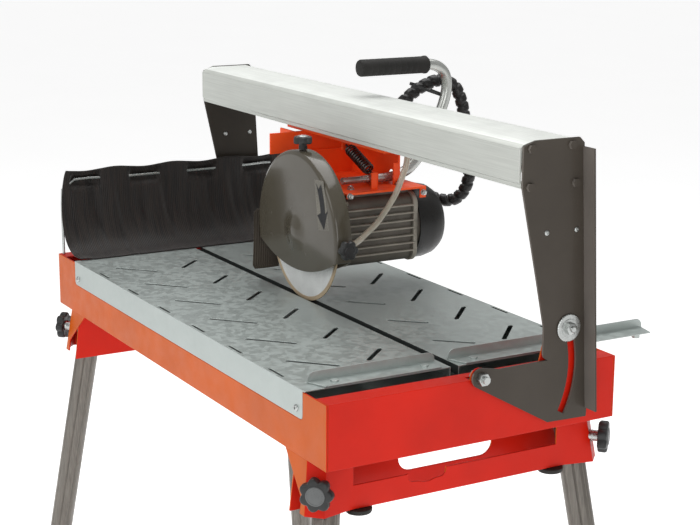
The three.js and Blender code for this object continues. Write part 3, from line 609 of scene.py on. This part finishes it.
def swept(shell, route, radius, count):
    """A round bar along a route; its radius is a number, or a function of distance and angle."""
    distance, rings = 0.0, []
    for i, (centre, (side, up)) in enumerate(zip(route, frames_along(route))):
        if i:
            distance += (centre - route[i - 1]).length
        ring = []
        for j in range(count):
            angle = 2 * math.pi * j / count
            r = radius(distance, angle) if callable(radius) else radius
            ring.append(centre + r * (math.cos(angle) * side + math.sin(angle) * up))
        rings.append(ring)
    shell.rings(rings)


def prism(shell, place, outline, low, high, edge=0.6):
    """An outline pushed from low to high along the placement's z, with a small chamfer all round."""
    centre = Vector((sum(p[0] for p in outline), sum(p[1] for p in outline))) / len(outline)

    def ring(inset, height):
        found = []
        for u, v in outline:
            away = Vector((u, v)) - centre
            shrunk = centre + away * max(0.0, 1 - inset / max(away.length, 1e-6))
            found.append(place @ Vector((shrunk.x, shrunk.y, height)))
        return found

    shell.rings([ring(edge, low), ring(0, low + edge), ring(0, high - edge), ring(edge, high)])


def plate_outline(width, depth, corner, steps=4):
    """A rectangle about the origin with round corners."""
    points = []
    for cx, cy, start in ((1, 1, 0), (-1, 1, 90), (-1, -1, 180), (1, -1, 270)):
        for i in range(steps + 1):
            angle = math.radians(start + 90 * i / steps)
            points.append((
                cx * (width / 2 - corner) + corner * math.cos(angle),
                cy * (depth / 2 - corner) + corner * math.sin(angle),
            ))
    return points


# ---- star knobs ----
def star_knob(name, body, origin, axis, outer, inner, lobes, lift, thick, stem, looks):
    """A moulded star knob: hollow-sided lobes with rolled edges, a round cap and a grooved stem."""
    place = pointing(origin, axis)

    def lobed(angle, radius):
        share = 0.5 + 0.5 * math.cos(lobes * angle)
        return radius * (inner + (outer - inner) * share ** 0.6) / outer

    shell = Shell()
    top = lift + thick
    turned(shell, place, [
        (0, lift + 1.5), (outer * 0.6, lift + 1.2), (outer * 0.9, lift), (outer * 0.97, lift + 1),
        (outer, lift + 3), (outer, top - 4), (outer * 0.97, top - 1.8), (outer * 0.9, top - 0.5),
        (outer * 0.8, top), (0, top),
    ], lobes * 12, 0, lobed)
    turned(shell, place, [
        (0, 1.0), (stem, 1.0), (stem, lift - 2), (stem * 1.25, lift + 2), (0, lift + 2),
    ], 40, 1)
    for i in range(3):
        level = 2.2 + i * max(lift - 6, 3) / 3
        turned(shell, place, rounded(stem + 0.8, level, level + 1.6, 0.5), 40, 1)
    turned(shell, place, [
        (0, top - 1), (outer * 0.56, top - 1), (outer * 0.56, top + 0.9), (outer * 0.5, top + 1.4),
        (outer * 0.46, top + 0.6), (outer * 0.2, top + 0.9), (0, top + 1),
    ], 40, 2)
    piece_from(shell, name + "_moulding", body, looks, [name])


def leg_centre(corner_x, corner_y, z):
    """Where a splayed leg's axis crosses the level z."""
    x = LEG_X - z * SPLAY_X
    y = LEG_Y + z * SPLAY_Y
    return (x if corner_x > 0 else -BOX_LENGTH - x), (y if corner_y < 0 else BOX_WIDTH - y)


CORNERS = (("near_left", 1, -1), ("near_right", 1, 1), ("far_left", -1, -1), ("far_right", -1, 1))


def leg_knobs_and_feet():
    for corner, dir_x, dir_y in CORNERS:
        x, y = leg_centre(dir_x, dir_y, CLAMP_Z)
        reach = LEG_RADIUS * math.sqrt(0.5) + 1
        origin = (x + dir_x * reach, y + dir_y * reach, CLAMP_Z)
        star_knob(
            f"{corner}_clamp_knob", f"{corner}_knob", origin, (dir_x, dir_y, 0),
            outer=26.8, inner=21.5, lobes=7, lift=27, thick=16, stem=9, looks=("plastic", "zinc", "cap"),
        )
        shell, rings = Shell(), []
        for swell, lift in (
            (-4, 0), (2, 0), (3.8, 2), (3.8, 7), (2.6, 8.5), (3.8, 10), (3.8, 15), (2.6, 16.5), (3.8, 18),
            (3.6, 31), (2.6, 33.6), (0.8, 33.8), (0.7, 6),
        ):
            z = FLOOR + lift
            cx, cy = leg_centre(dir_x, dir_y, z)
            rings.append([(cx + px, cy + py, z) for px, py, _ in circle(LEG_RADIUS + swell, 0, 40)])
        shell.rings(rings)
        piece_from(shell, f"{corner}_foot_cup", "box", ("rubber",), [f"{corner}_foot"])


def leg_tubes():
    """Drawn tubes with a narrow groove at every eighth of a turn."""
    count, spacing, groove_depth, groove_angle, turn = 192, math.pi / 4, 1.9, 0.075, 0.2

    def outline(inset):
        points = []
        for i in range(count):
            angle = 2 * math.pi * i / count
            off_groove = (angle + spacing / 2) % spacing - spacing / 2
            r = LEG_RADIUS - inset - groove_depth * math.exp(-(off_groove / groove_angle) ** 2)
            points.append((r * math.cos(angle + turn), r * math.sin(angle + turn)))
        return points

    for corner, dir_x, dir_y in CORNERS:
        shell, rings = Shell(), []
        for z, inset in ((FLOOR + 6, 0.8), (FLOOR + 6.8, 0.1), (-350, 0.1), (-1.8, 0.1), (-1, 0.8)):
            cx, cy = leg_centre(dir_x, dir_y, z)
            rings.append([(cx + u, cy + v, z) for u, v in outline(inset)])
        shell.rings(rings)
        piece_from(shell, f"{corner}_leg_tube", "box", ("leg",), [f"{corner}_leg"])


leg_knobs_and_feet()
leg_tubes()
star_knob(
    "guard_top_knob", "top_knob", (BLADE_X, GUARD_KNOB_Y + 2, BLADE_Z + GUARD_RADIUS), (0, 0, 1),
    outer=17.8, inner=14.5, lobes=6, lift=12, thick=12.5, stem=7, looks=("plastic", "plastic", "zinc"),
)
star_knob(
    "guard_side_knob", "side_knob", (BLADE_X + GUARD_RADIUS, GUARD_KNOB_Y, GUARD_KNOB_Z), (1, 0, 0),
    outer=17.8, inner=14.5, lobes=6, lift=12, thick=13, stem=7, looks=("plastic", "plastic", "plastic"),
)


# ---- tilt clamps: a knurled washer behind a hex nut ----
def tilt_clamp(end, heading, plane):
    y = CUT_Y + CLAMP_RADIUS * math.cos(CLAMP_ANGLE)
    z = TABLE_TOP + CLAMP_RADIUS * math.sin(CLAMP_ANGLE)
    place = pointing((plane, y, z), (heading, 0, 0))
    shell = Shell()

    def knurled(angle, radius):
        return radius - 0.5 * (0.5 + 0.5 * math.cos(36 * angle))

    turned(shell, place, [
        (0, 8.4), (21, 8.4), (22.4, 9.2), (22.4, 10.4), (21.4, 11.2), (15, 11.2), (14.6, 12.2), (0, 12.2),
    ], 144, 0, knurled)
    hexagon(shell, place, 17, 12.2, 19.6)
    turned(shell, place, [(0, -12), (4.9, -12), (4.9, 22.4), (4, 23.6), (0, 23.6)], 32)
    hexagon(shell, pointing((plane, y, z), (-heading, 0, 0)), 15, 3.4, 10)
    clamp = f"{end}_tilt_clamp"
    piece_from(shell, f"{clamp}_nut", clamp, ("zinc",), [clamp])


tilt_clamp("near", 1, 0)
tilt_clamp("far", -1, -BOX_LENGTH)


# ---- blade ----
def blade():
    shell = Shell()
    place = pointing((BLADE_X, CUT_Y, BLADE_Z), (0, 1, 0))
    bore, half, rim = 10.3, 0.9, BLADE_RADIUS - 7
    core = [(bore, -half), (rim, -half), (rim, half), (bore, half), (bore, -half)]
    shell.rings(circles(place, core, 160), 0, capped=False)
    shell.rings(circles(place, [
        (rim - 0.5, -0.95), (rim + 0.4, -1.2), (BLADE_RADIUS - 0.4, -1.2), (BLADE_RADIUS, -0.8),
        (BLADE_RADIUS, 0.8), (BLADE_RADIUS - 0.4, 1.2), (rim + 0.4, 1.2), (rim - 0.5, 0.95),
        (rim - 0.5, -0.95),
    ], 160), 1, capped=False)
    piece_from(shell, "diamond_blade", "spindle", ("blade", "rim"), ["blade"])


blade()


# ---- blade guard ----
def cut_with(body, *tools):
    """Take the tools' solids away from body, and remove the tools."""
    for tool in tools:
        knife = body.modifiers.new("cut", "BOOLEAN")
        knife.operation = "DIFFERENCE"
        knife.solver = "EXACT"
        knife.object = tool
    bpy.context.view_layer.update()
    result = bpy.data.meshes.new_from_object(body.evaluated_get(bpy.context.evaluated_depsgraph_get()))
    body.modifiers.clear()
    body.data = result
    for tool in tools:
        bpy.data.objects.remove(tool)


def painted(shell, name):
    """A shell in guard paint that rides on nothing yet."""
    return piece_from(shell, name, None, ("guard",))


def guard():
    """A turned hood with a domed middle and a rolled rim, open below along a wide arc."""
    place = pointing((BLADE_X, 0, BLADE_Z), (0, 1, 0))
    r, front, back = GUARD_RADIUS, GUARD_FRONT, GUARD_BACK
    arc_radius, arc_centre_z, arc_from, arc_to = 300, 461, 228, 313
    drum = Shell()
    turned(drum, place, [
        (0, front - 8), (7, front - 7.7), (14, front - 6.6), (20, front - 4.8), (26, front - 2.8),
        (32, front - 1.2), (38, front - 0.3), (46, front),
        (r - 9, front), (r - 6, front + 0.5), (r - 3, front + 1.6), (r - 1, front + 3.6), (r, front + 6.5),
        (r, back), (40, back), (0, back),
    ], 200)
    body = painted(drum, "blade_guard_shell")
    hollow = Shell()
    turned(hollow, place, [
        (0, front - 5), (14, front - 4), (26, front), (36, front + 2.6), (r - 5, front + 3),
        (r - 3, front + 5), (r - 3, back - 3), (0, back - 3),
    ], 200)
    below = Shell()
    corners = []
    for degrees in range(arc_from, arc_to, 2):
        angle = math.radians(degrees)
        height = arc_centre_z - BLADE_Z + arc_radius * math.sin(angle)
        corners.append((arc_radius * math.cos(angle), height))
    corners += [(260, -270), (-260, -270)]
    local = [place.to_3x3().transposed() @ Vector((u, 0, v)) for u, v in corners]
    below.rings([[place @ Vector((p.x, p.y, y)) for p in local] for y in (front - 25, back + 25)])
    shaft = Shell()
    turned(shaft, place, [(0, back - 8), (36, back - 8), (36, back + 8), (0, back + 8)], 64)
    cut_with(body, *(painted(tool, "tool") for tool in (hollow, below, shaft)))
    body.data.shade_smooth()
    body.data.set_sharp_from_angle(angle=math.radians(32))
    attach(body, "head")
    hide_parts("blade_guard")


guard()


def rotation_arrow():
    """A plain arrow on a pale patch of the guard's face; it shows which way the blade turns."""
    outer = [(-448 - 15 * (1 - k / 6) ** 1.5, 281 + 50 * (1 - k / 6)) for k in range(7)]
    inner = [(-464 - 17 * (k / 6) ** 1.5, 280 + 50 * (k / 6)) for k in range(7)]
    arrow = [*outer, (-439, 288), (-452, 252), (-476, 274), *inner, (-472, 321)]
    patch = [(-488, 336), (-455, 338), (-433, 254), (-472, 248)]
    shell = Shell()
    for mark, (outline, proud) in enumerate(((arrow, 0.35), (patch, 0.15))):
        start, count = len(shell.points), len(outline)
        for depth in (GUARD_FRONT - proud, GUARD_FRONT + 0.3):
            shell.points += [Vector((x, depth, z)) for x, z in outline]
        shell.face(tuple(start + i for i in range(count)), mark)
        shell.face(tuple(start + 2 * count - 1 - i for i in range(count)), mark)
        for i in range(count):
            k = (i + 1) % count
            shell.face((start + i, start + k, start + count + k, start + count + i), mark)
    piece_from(shell, "guard_arrow_decal", "head", ("decal", "patch"))


rotation_arrow()


# ---- ring that carries the guard on the motor, and the splash flap ----
def guard_ring():
    inner, outer, low, high = 37, 46, 277.6, 280.5
    shell = Shell()
    profile = [(inner, low), (outer, low), (outer, high), (inner, high), (inner, low)]
    shell.rings(circles(pointing((BLADE_X, 0, BLADE_Z), (0, 1, 0)), profile, 64), capped=False)
    piece_from(shell, "guard_mounting_ring", "head", ("cast",))


guard_ring()


def grid_faces(shell, columns, rows):
    """Faces between the points of a grid, which the shell holds row by row."""
    wide = columns + 1
    for row in range(rows):
        for column in range(columns):
            a = row * wide + column
            shell.face((a, a + 1, a + 1 + wide, a + wide))


def splash_flap():
    """Ribbed rubber flap on the guard's far edge, its foot bent away by the blade's draught."""
    columns, rows, ribs, rib_height = 96, 40, 12, 0.45
    left_edge, right_edge, top, drop_height = 240, 296, 244, 117
    x0 = BLADE_X - GUARD_RADIUS - 2.5
    shell = Shell()
    for row in range(rows + 1):
        drop = row / rows
        for column in range(columns + 1):
            across = column / columns
            left = left_edge + 7 * max(0.0, 1 - drop * 16) + 5 * max(0.0, drop * 16 - 15)
            rib = rib_height * math.sin(across * ribs * 2 * math.pi)
            bend = -7 * drop ** 2 + 1.6 * math.sin(across * math.pi) * drop
            y = left + (right_edge - left) * across
            shell.points.append(Vector((x0 + rib + bend, y, top - drop_height * drop)))
    grid_faces(shell, columns, rows)
    flap = piece_from(shell, "ribbed_flap", "head", ("flap",), ["splash_flap"], 60)
    thick = flap.modifiers.new("thickness", "SOLIDIFY")
    thick.thickness = 2 * MM


splash_flap()


# ---- splash curtain on its wire hoop ----
def splash_curtain():
    """A rubber sheet threaded on the hoop's top rod; it hangs in folds and its foot lies on the table."""
    drop_line = smooth_route([
        (-1103, 0, 273), (-1103, 0, 250), (-1102, 0, 215), (-1094, 0, 168), (-1072, 0, 132), (-1048, 0, 114),
        (-1030, 0, 109), (-1016, 0, 107.6),
    ], 4)
    left, right, columns = 16, 516, 200
    # where the rod's openings and the top edge's waves begin, and their shared spacing
    opening, scallop, spacing = 57, 121, 129
    rod_height, rod_bend = 252, 31
    shell = Shell()
    for row, point in enumerate(drop_line):
        drop = row / (len(drop_line) - 1)
        for column in range(columns + 1):
            share = column / columns
            y = left + (right - left) * share
            threading = math.cos((y - opening) / spacing * 2 * math.pi)
            behind = 1 / (1 + math.exp(-12 * threading)) / (1 + math.exp(-(y - rod_bend) / 1.6))
            near_rod = math.exp(-((point.z - rod_height) / 15) ** 4)
            slant = y - 26 * drop
            fold = math.sin(slant * 0.071 + 0.6) + 0.6 * math.sin(slant * 0.123 + 2.1)
            fold += 0.3 * math.sin(slant * 0.247)
            depth = 7 * math.sin(math.pi * min(drop * 1.2, 1)) ** 1.2
            bulge = 10 * math.exp(-((y - left) / 34) ** 2) * math.sin(math.pi * drop) ** 2
            curl = 3 * math.exp(-((y - left) / 16) ** 2) * drop ** 6
            x = point.x - 10.5 * behind * near_rod + fold * depth * 0.55 + bulge * 0.5
            z = point.z + 1.6 * near_rod * math.sin(y * 0.05 + 1) + curl + 0.8 * max(0.0, fold) * drop ** 2
            out = -17 * math.exp(-((y - left) / 40) ** 2) * math.sin(math.pi * min(1, drop * 0.95)) ** 0.8
            z += 2.6 * math.cos((y - scallop) / spacing * 2 * math.pi) * max(0.0, 1 - row / 5)
            shell.points.append(Vector((x, y + out, z)))
    grid_faces(shell, columns, len(drop_line) - 1)
    sheet = piece_from(shell, "curtain_sheet", "box", ("curtain",), ["splash_curtain"], 80)
    thick = sheet.modifiers.new("thickness", "SOLIDIFY")
    thick.thickness = 1.8 * MM
    thick.offset = 0


splash_curtain()


# ---- lift spring ----
def lift_spring():
    """A pull spring of bare wire with short straight ends, between the carriage and the head arm."""
    start, end = Vector((-616, 385, 367.5)), Vector((-522, 385, 329.5))
    axis = (end - start).normalized()
    length = (end - start).length
    side = axis.orthogonal().normalized()
    up = axis.cross(side)
    turns, coil, wire, margin = 12, 9.4, 2.1, 9
    route = [start - axis * 1.0, start + axis * 3]
    steps = turns * 20
    for i in range(steps + 1):
        angle = 2 * math.pi * turns * i / steps
        swell = min(1.0, i / 12, (steps - i) / 12)
        along = margin + (length - 2 * margin) * i / steps
        spoke = math.cos(angle) * side + math.sin(angle) * up
        route.append(start + axis * along + coil * swell * spoke)
    route += [end - axis * 3, end + axis * 1.0]
    shell = Shell()
    swept(shell, route, wire, 10)
    spring = piece_from(shell, "lift_spring_coil", None, ("spring",), ["lift_spring"], 60)
    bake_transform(spring)


lift_spring()


# ---- handle ----
def handle():
    x, tube_z = HANDLE_X, SADDLE_TOP + HANDLE_RADIUS + 0.6
    grip_z, grip_radius, pinch = 515.5, 15.5, 0.38
    plain_length, taper_length = 40, 95.0
    route = smooth_route([
        (x, 343, tube_z), (x, 400, tube_z), (x, 440, tube_z), (x, 466, 316.5), (x, 490, 328), (x, 512, 352),
        (x, 532, 386), (x, 550, 420), (x, 562, 450), (x, 566, 475), (x, 561, 497), (x, 547, 510),
        (x, 528, grip_z), (x, 490, grip_z), (x, 384, grip_z),
    ], 4)

    def pressed(distance, angle):
        narrowing = 1 - min(1.0, max(0.0, distance - plain_length) / taper_length)
        return HANDLE_RADIUS * (1 - pinch * narrowing)

    shell = Shell()
    swept(shell, route, pressed, 32)
    piece_from(shell, "bent_handle_tube", "head", ("handle",), ["handle_tube"])
    grip = Shell()
    place = pointing((x, 377, grip_z), (0, 1, 0))
    full, groove = grip_radius, grip_radius - 0.4
    profile = [(0, 0), (11, 0), (14.2, 1.2), (full, 4), (full, 12)]
    for i in range(9):
        level = 20 + i * 12
        profile += [(full, level), (groove, level + 1.2), (groove, level + 2), (full, level + 3.2)]
    profile += [(full, 134), (16.4, 137), (16.4, 141), (14.5, 143.5), (10.6, 143.8), (10.6, 7), (0, 7)]
    turned(grip, place, profile, 48)
    piece_from(grip, "foam_handle_grip", "head", ("foam",), ["handle_grip"])


handle()


# ---- motor ribs and flanges over the plain housing ----
def motor_ribs():
    """Fins along both sides of the housing and under it."""
    half_width, half_height, side_pitch, under_pitch = 62.8, 63.6, 14, 11
    stations = ((320.5, 1.2), (321.7, 0), (464.8, 0), (466, 1.2))
    tip = half_width - 0.8
    outline = [
        (53, -2.3), (58, -1.9), (tip, -1.6), (half_width, -0.8), (half_width, 0.8), (tip, 1.6),
        (58, 1.9), (53, 2.3),
    ]
    shell = Shell()
    for side in (-1, 1):
        for level in range(-3, 4):
            z = BLADE_Z + level * side_pitch
            rings = []
            for y, inset in stations:
                rings.append([
                    (BLADE_X + side * (u - (inset if u > 55 else 0)), y, z + v) for u, v in outline
                ])
            shell.rings(rings)
    low = BLADE_Z - half_height
    for i in range(-3, 4):
        x = BLADE_X + i * under_pitch
        rings = []
        for y, inset in stations:
            foot, root = low + inset, low + 8
            rings.append([(x - 1.9, y, root), (x - 1.5, y, foot), (x + 1.5, y, foot), (x + 1.9, y, root)])
        shell.rings(rings)
    piece_from(shell, "motor_cooling_ribs", "head", ("cast",))


def rounded_frame(shell, low, high, half_width, half_height):
    """A flange round the motor: a rounded rectangle with its middle open."""
    edge, corner, inner = 0.8, 24, 9

    def loop(shrink, y):
        width, height = 2 * (half_width - shrink), 2 * (half_height - shrink)
        outline = plate_outline(width, height, corner - min(shrink, 2), 8)
        return [(BLADE_X + u, y, BLADE_Z + v) for u, v in outline]

    shell.rings([
        loop(inner, low), loop(edge, low), loop(0, low + edge), loop(0, high - edge), loop(edge, high),
        loop(inner, high), loop(inner, low),
    ], 0, capped=False)


def motor_flanges():
    shell, front_face = Shell(), 318
    rounded_frame(shell, 306, front_face, 60, 64.5)
    rounded_frame(shell, 459, 468, 62, 65)
    for dir_x, dir_z in ((-1, -1), (1, -1), (-1, 1), (1, 1)):
        place = pointing((BLADE_X + dir_x * 53, front_face, BLADE_Z + dir_z * 55), (0, 1, 0))
        turned(shell, place, rounded(4.6, -10, 3, 0.8), 20)
        hexagon(shell, place, 7, 3, 7)
    piece_from(shell, "motor_end_flanges", "head", ("cast",))


motor_ribs()
motor_flanges()


# ---- conduit and hose ----
def conduit():
    """A cable bundle in a black spiral wrap, tied to the handle."""
    route = smooth_route([
        (-660, 486, 290.3), (-660, 486, 318), (-654, 486, 352), (-641, 487, 388), (-622, 492, 422),
        (-606, 506, 446), (-602, 537, 468), (-593, 572, 480), (-580, 596, 470), (-570, 606, 444),
        (-565, 611, 412), (-562, 618, 370), (-562, 624, 330), (-564, 624, 297), (-571, 617, 268),
        (-582, 603, 252), (-598, 584, 250), (-622, 564, 258), (-645, 548, 267), (-658, 534, 271),
        (-660, 524, 271), (-660, 515.3, 271),
    ], 1.6)
    pitch, covered, bundle_radius, strip_radius, strip_crown = 17.0, 0.78, 9.4, 10.4, 1.6

    def wrapped(distance, angle):
        phase = (distance / pitch - angle / (2 * math.pi)) % 1.0
        if phase >= covered:
            return bundle_radius
        edge = min(phase, covered - phase)
        return strip_radius + strip_crown * min(1.0, edge / 0.08)

    shell = Shell()
    swept(shell, route, wrapped, 32)
    piece_from(shell, "spiral_conduit", "head", ("conduit",), ["cable_conduit"], 50)


conduit()


def hose():
    """The clear water hose from the carriage to the guard, and the barbed inlet on the guard."""
    shell = Shell()
    route = smooth_route([
        (-445, 279.5, 221), (-446, 300, 221), (-458, 322, 225), (-474, 346, 232), (-481, 369, 245),
        (-482, 390, 268), (-481, 410, 297), (-480, 422, 325), (-480, 430, 345), (-480, 433, 362),
        (-480, 433, 373), (-480, 433, 382.7),
    ], 3)
    swept(shell, route, 5.5, 24)
    tube = piece_from(shell, "clear_water_hose", None, ("hose",), ["water_hose"])
    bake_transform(tube)
    fitting = Shell()
    place = pointing((-445, 279, 221), (0, 1, 0))
    turned(fitting, place, rounded(9, 0, 6, 1), 40)
    turned(fitting, place, [
        (0, 5), (7, 5), (7.6, 8), (6.6, 9), (7.4, 12), (6.4, 13), (7.2, 16), (6, 18), (0, 18),
    ], 40)
    piece_from(fitting, "hose_inlet", "head", ("plastic",))


hose()


# ---- small fixings ----
def rest_pads():
    """Rubber pads under the skirts, which the box rests on when its legs are off."""
    for end, x in (("near", -50), ("far", -BOX_LENGTH + 50)):
        for side, y in (("left", 85), ("right", BOX_WIDTH - 85)):
            shell = Shell()
            turned(shell, pointing((x, y, -85), (0, 0, -1)), [
                (0, -1), (8, -1), (8, 0.4), (19, 0.4), (21, 1.8), (21, 6), (19.6, 8.6), (17, 9.6), (9, 9.6),
                (8, 7.4), (0, 7.4),
            ], 48)
            piece_from(shell, f"{end}_{side}_rest_pad", "box", ("rubber",))


def button_head(shell, place, radius, height):
    """A low domed screw head with a round socket."""
    shares = (
        (0, 0), (1, 0), (1, 0.2), (0.9, 0.6), (0.68, 0.92), (0.5, 1), (0.42, 1), (0.4, 0.45), (0, 0.4),
    )
    turned(shell, place, [(u * radius, v * height) for u, v in shares], 24)


def bolts(name, body, places, across, height, washer=None, domed=False):
    """A set of like bolts as one piece."""
    shell = Shell()
    for origin, axis in places:
        place = pointing(origin, axis, 0.3)
        lift = 0
        if washer:
            turned(shell, place, rounded(washer, 0, 1.4, 0.3), 32)
            lift = 1.4
        if domed:
            button_head(shell, place, across / 2, height)
        else:
            hexagon(shell, place, across, lift, lift + height)
            thread, top = across * 0.27, lift + height
            turned(shell, place, [
                (0, lift), (thread, lift), (thread, top + 1.6), (across * 0.2, top + 2.2), (0, top + 2.2),
            ], 20)
    piece_from(shell, name, body, ("zinc",))


def fixings():
    """The visible screws, nuts and rivets, a set to a piece."""
    for side, y, heading in (("left", -0.1, -1), ("right", BOX_WIDTH + 0.1, 1)):
        places = [((x, y, 73), (0, heading, 0)) for x in (-92, -1007)]
        bolts(f"{side}_flange_screws", "box", places, 11, 3, domed=True)
    places = [((-497, 478.5, 291), (1, 0, 0)), ((-497, 324, 297), (1, 0, 0))]
    bolts("head_plate_nuts", "head", places, 9, 4.5, 5.6)
    places = [((x, y, SADDLE_TOP), (0, 0, 1)) for x in (-585, -530) for y in (345, 445)]
    bolts("saddle_screws", "head", places, 10, 4.5, 7)
    places = []
    for quarter in range(4):
        angle = math.radians(45 + 90 * quarter)
        x, z = BLADE_X + 52 * math.cos(angle), BLADE_Z + 52 * math.sin(angle)
        places.append(((x, 478.1, z), (0, 1, 0)))
    bolts("rear_shield_screws", "head", places, 6, 2.4, domed=True)
    for end, outer, inner, heading in (
        ("near", 8, 4, 1), ("far", -BOX_LENGTH - 8, -BOX_LENGTH - 4, -1),
    ):
        for where, x, facing in (("plate", outer, heading), ("plate_inner", inner, -heading)):
            places = [((x, y, RAIL_SCREW_Z), (facing, 0, 0)) for y in RAIL_SCREW_YS]
            bolts(f"{end}_{where}_rivets", "bridge", places, 9, 2.2, domed=True)


def cable_tie(name, centre, axis, wide, deep):
    """A flat strap round two tubes, with its lock."""
    place = pointing(centre, axis)
    shell = Shell()
    rings = []
    for thick, height in ((0, -2.4), (1.5, -2.4), (1.5, 2.4), (0, 2.4), (0, -2.4)):
        ring = []
        for i in range(48):
            angle = 2 * math.pi * i / 48
            x, y = (wide + thick) * math.cos(angle), (deep + thick) * math.sin(angle)
            ring.append(place @ Vector((x, y, height)))
        rings.append(ring)
    shell.rings(rings, 0, capped=False)
    lock = [(wide + 1 + u, v) for u, v in plate_outline(6, 6, 1)]
    prism(shell, place, lock, -3, 3)
    piece_from(shell, name, "head", ("plastic",))


rest_pads()
fixings()
cable_tie("upper_cable_tie", (-583, 541, 465), (0.15, 0.35, 1), 38, 21)


# ---- floor, light, colour ----
def stage():
    """A pale floor that glows a little, and a world that is white to the eye and softer as light."""
    floor_z = CAD_BOX[0].z - FLOOR_DROP
    signs = ((-1, -1), (1, -1), (1, 1), (-1, 1))
    corners = [(dx * FLOOR_REACH, dy * FLOOR_REACH, floor_z) for dx, dy in signs]
    mesh = bpy.data.meshes.new("floor")
    mesh.from_pydata(corners, [], [(0, 1, 2, 3)])
    floor = shown("floor", mesh)
    look = Finish("studio_floor", 0.85)
    look.colour(look.ramp(look.noise(1.5, 2.0), (0.3, (0.93, 0.93, 0.93)), (0.7, (0.95, 0.95, 0.95))))
    look.shader.inputs["Emission Color"].default_value = (1.0, 1.0, 1.0, 1.0)
    look.shader.inputs["Emission Strength"].default_value = FLOOR_GLOW
    floor.data.materials.append(look.material)
    world = bpy.data.worlds.new("studio")
    world.use_nodes = True
    tree = world.node_tree
    background = tree.nodes["Background"]
    background.inputs["Color"].default_value = (1.0, 1.0, 1.0, 1.0)
    seen = tree.nodes.new("ShaderNodeLightPath").outputs["Is Camera Ray"]
    strength = tree.nodes.new("ShaderNodeMapRange")
    strength.inputs["To Min"].default_value = WORLD_LIGHT
    strength.inputs["To Max"].default_value = WORLD_SEEN
    tree.links.new(seen, strength.inputs["Value"])
    tree.links.new(strength.outputs["Result"], background.inputs["Strength"])
    bpy.context.scene.world = world
    bpy.context.scene.view_settings.view_transform = "Standard"


def softbox(name, place, target, size, power):
    lamp = bpy.data.lights.new(name, "AREA")
    lamp.shape = "RECTANGLE"
    lamp.size, lamp.size_y = size
    lamp.energy = power
    holder = shown(name, lamp)
    holder.location = place
    holder.rotation_mode = "QUATERNION"
    holder.rotation_quaternion = (Vector(target) - Vector(place)).to_track_quat("-Z", "Y")


stage()
softbox("key_light", (0.2, -3.4, 2.6), target=(0, 0, 0.8), size=(2.6, 1.8), power=30)
softbox("top_light", (-0.6, 0.4, 3.6), target=(-0.2, 0, 0.9), size=(3.0, 2.4), power=70)
softbox("front_light", (3.2, -1.3, 1.5), target=(0, 0, 0.9), size=(1.6, 1.6), power=20)
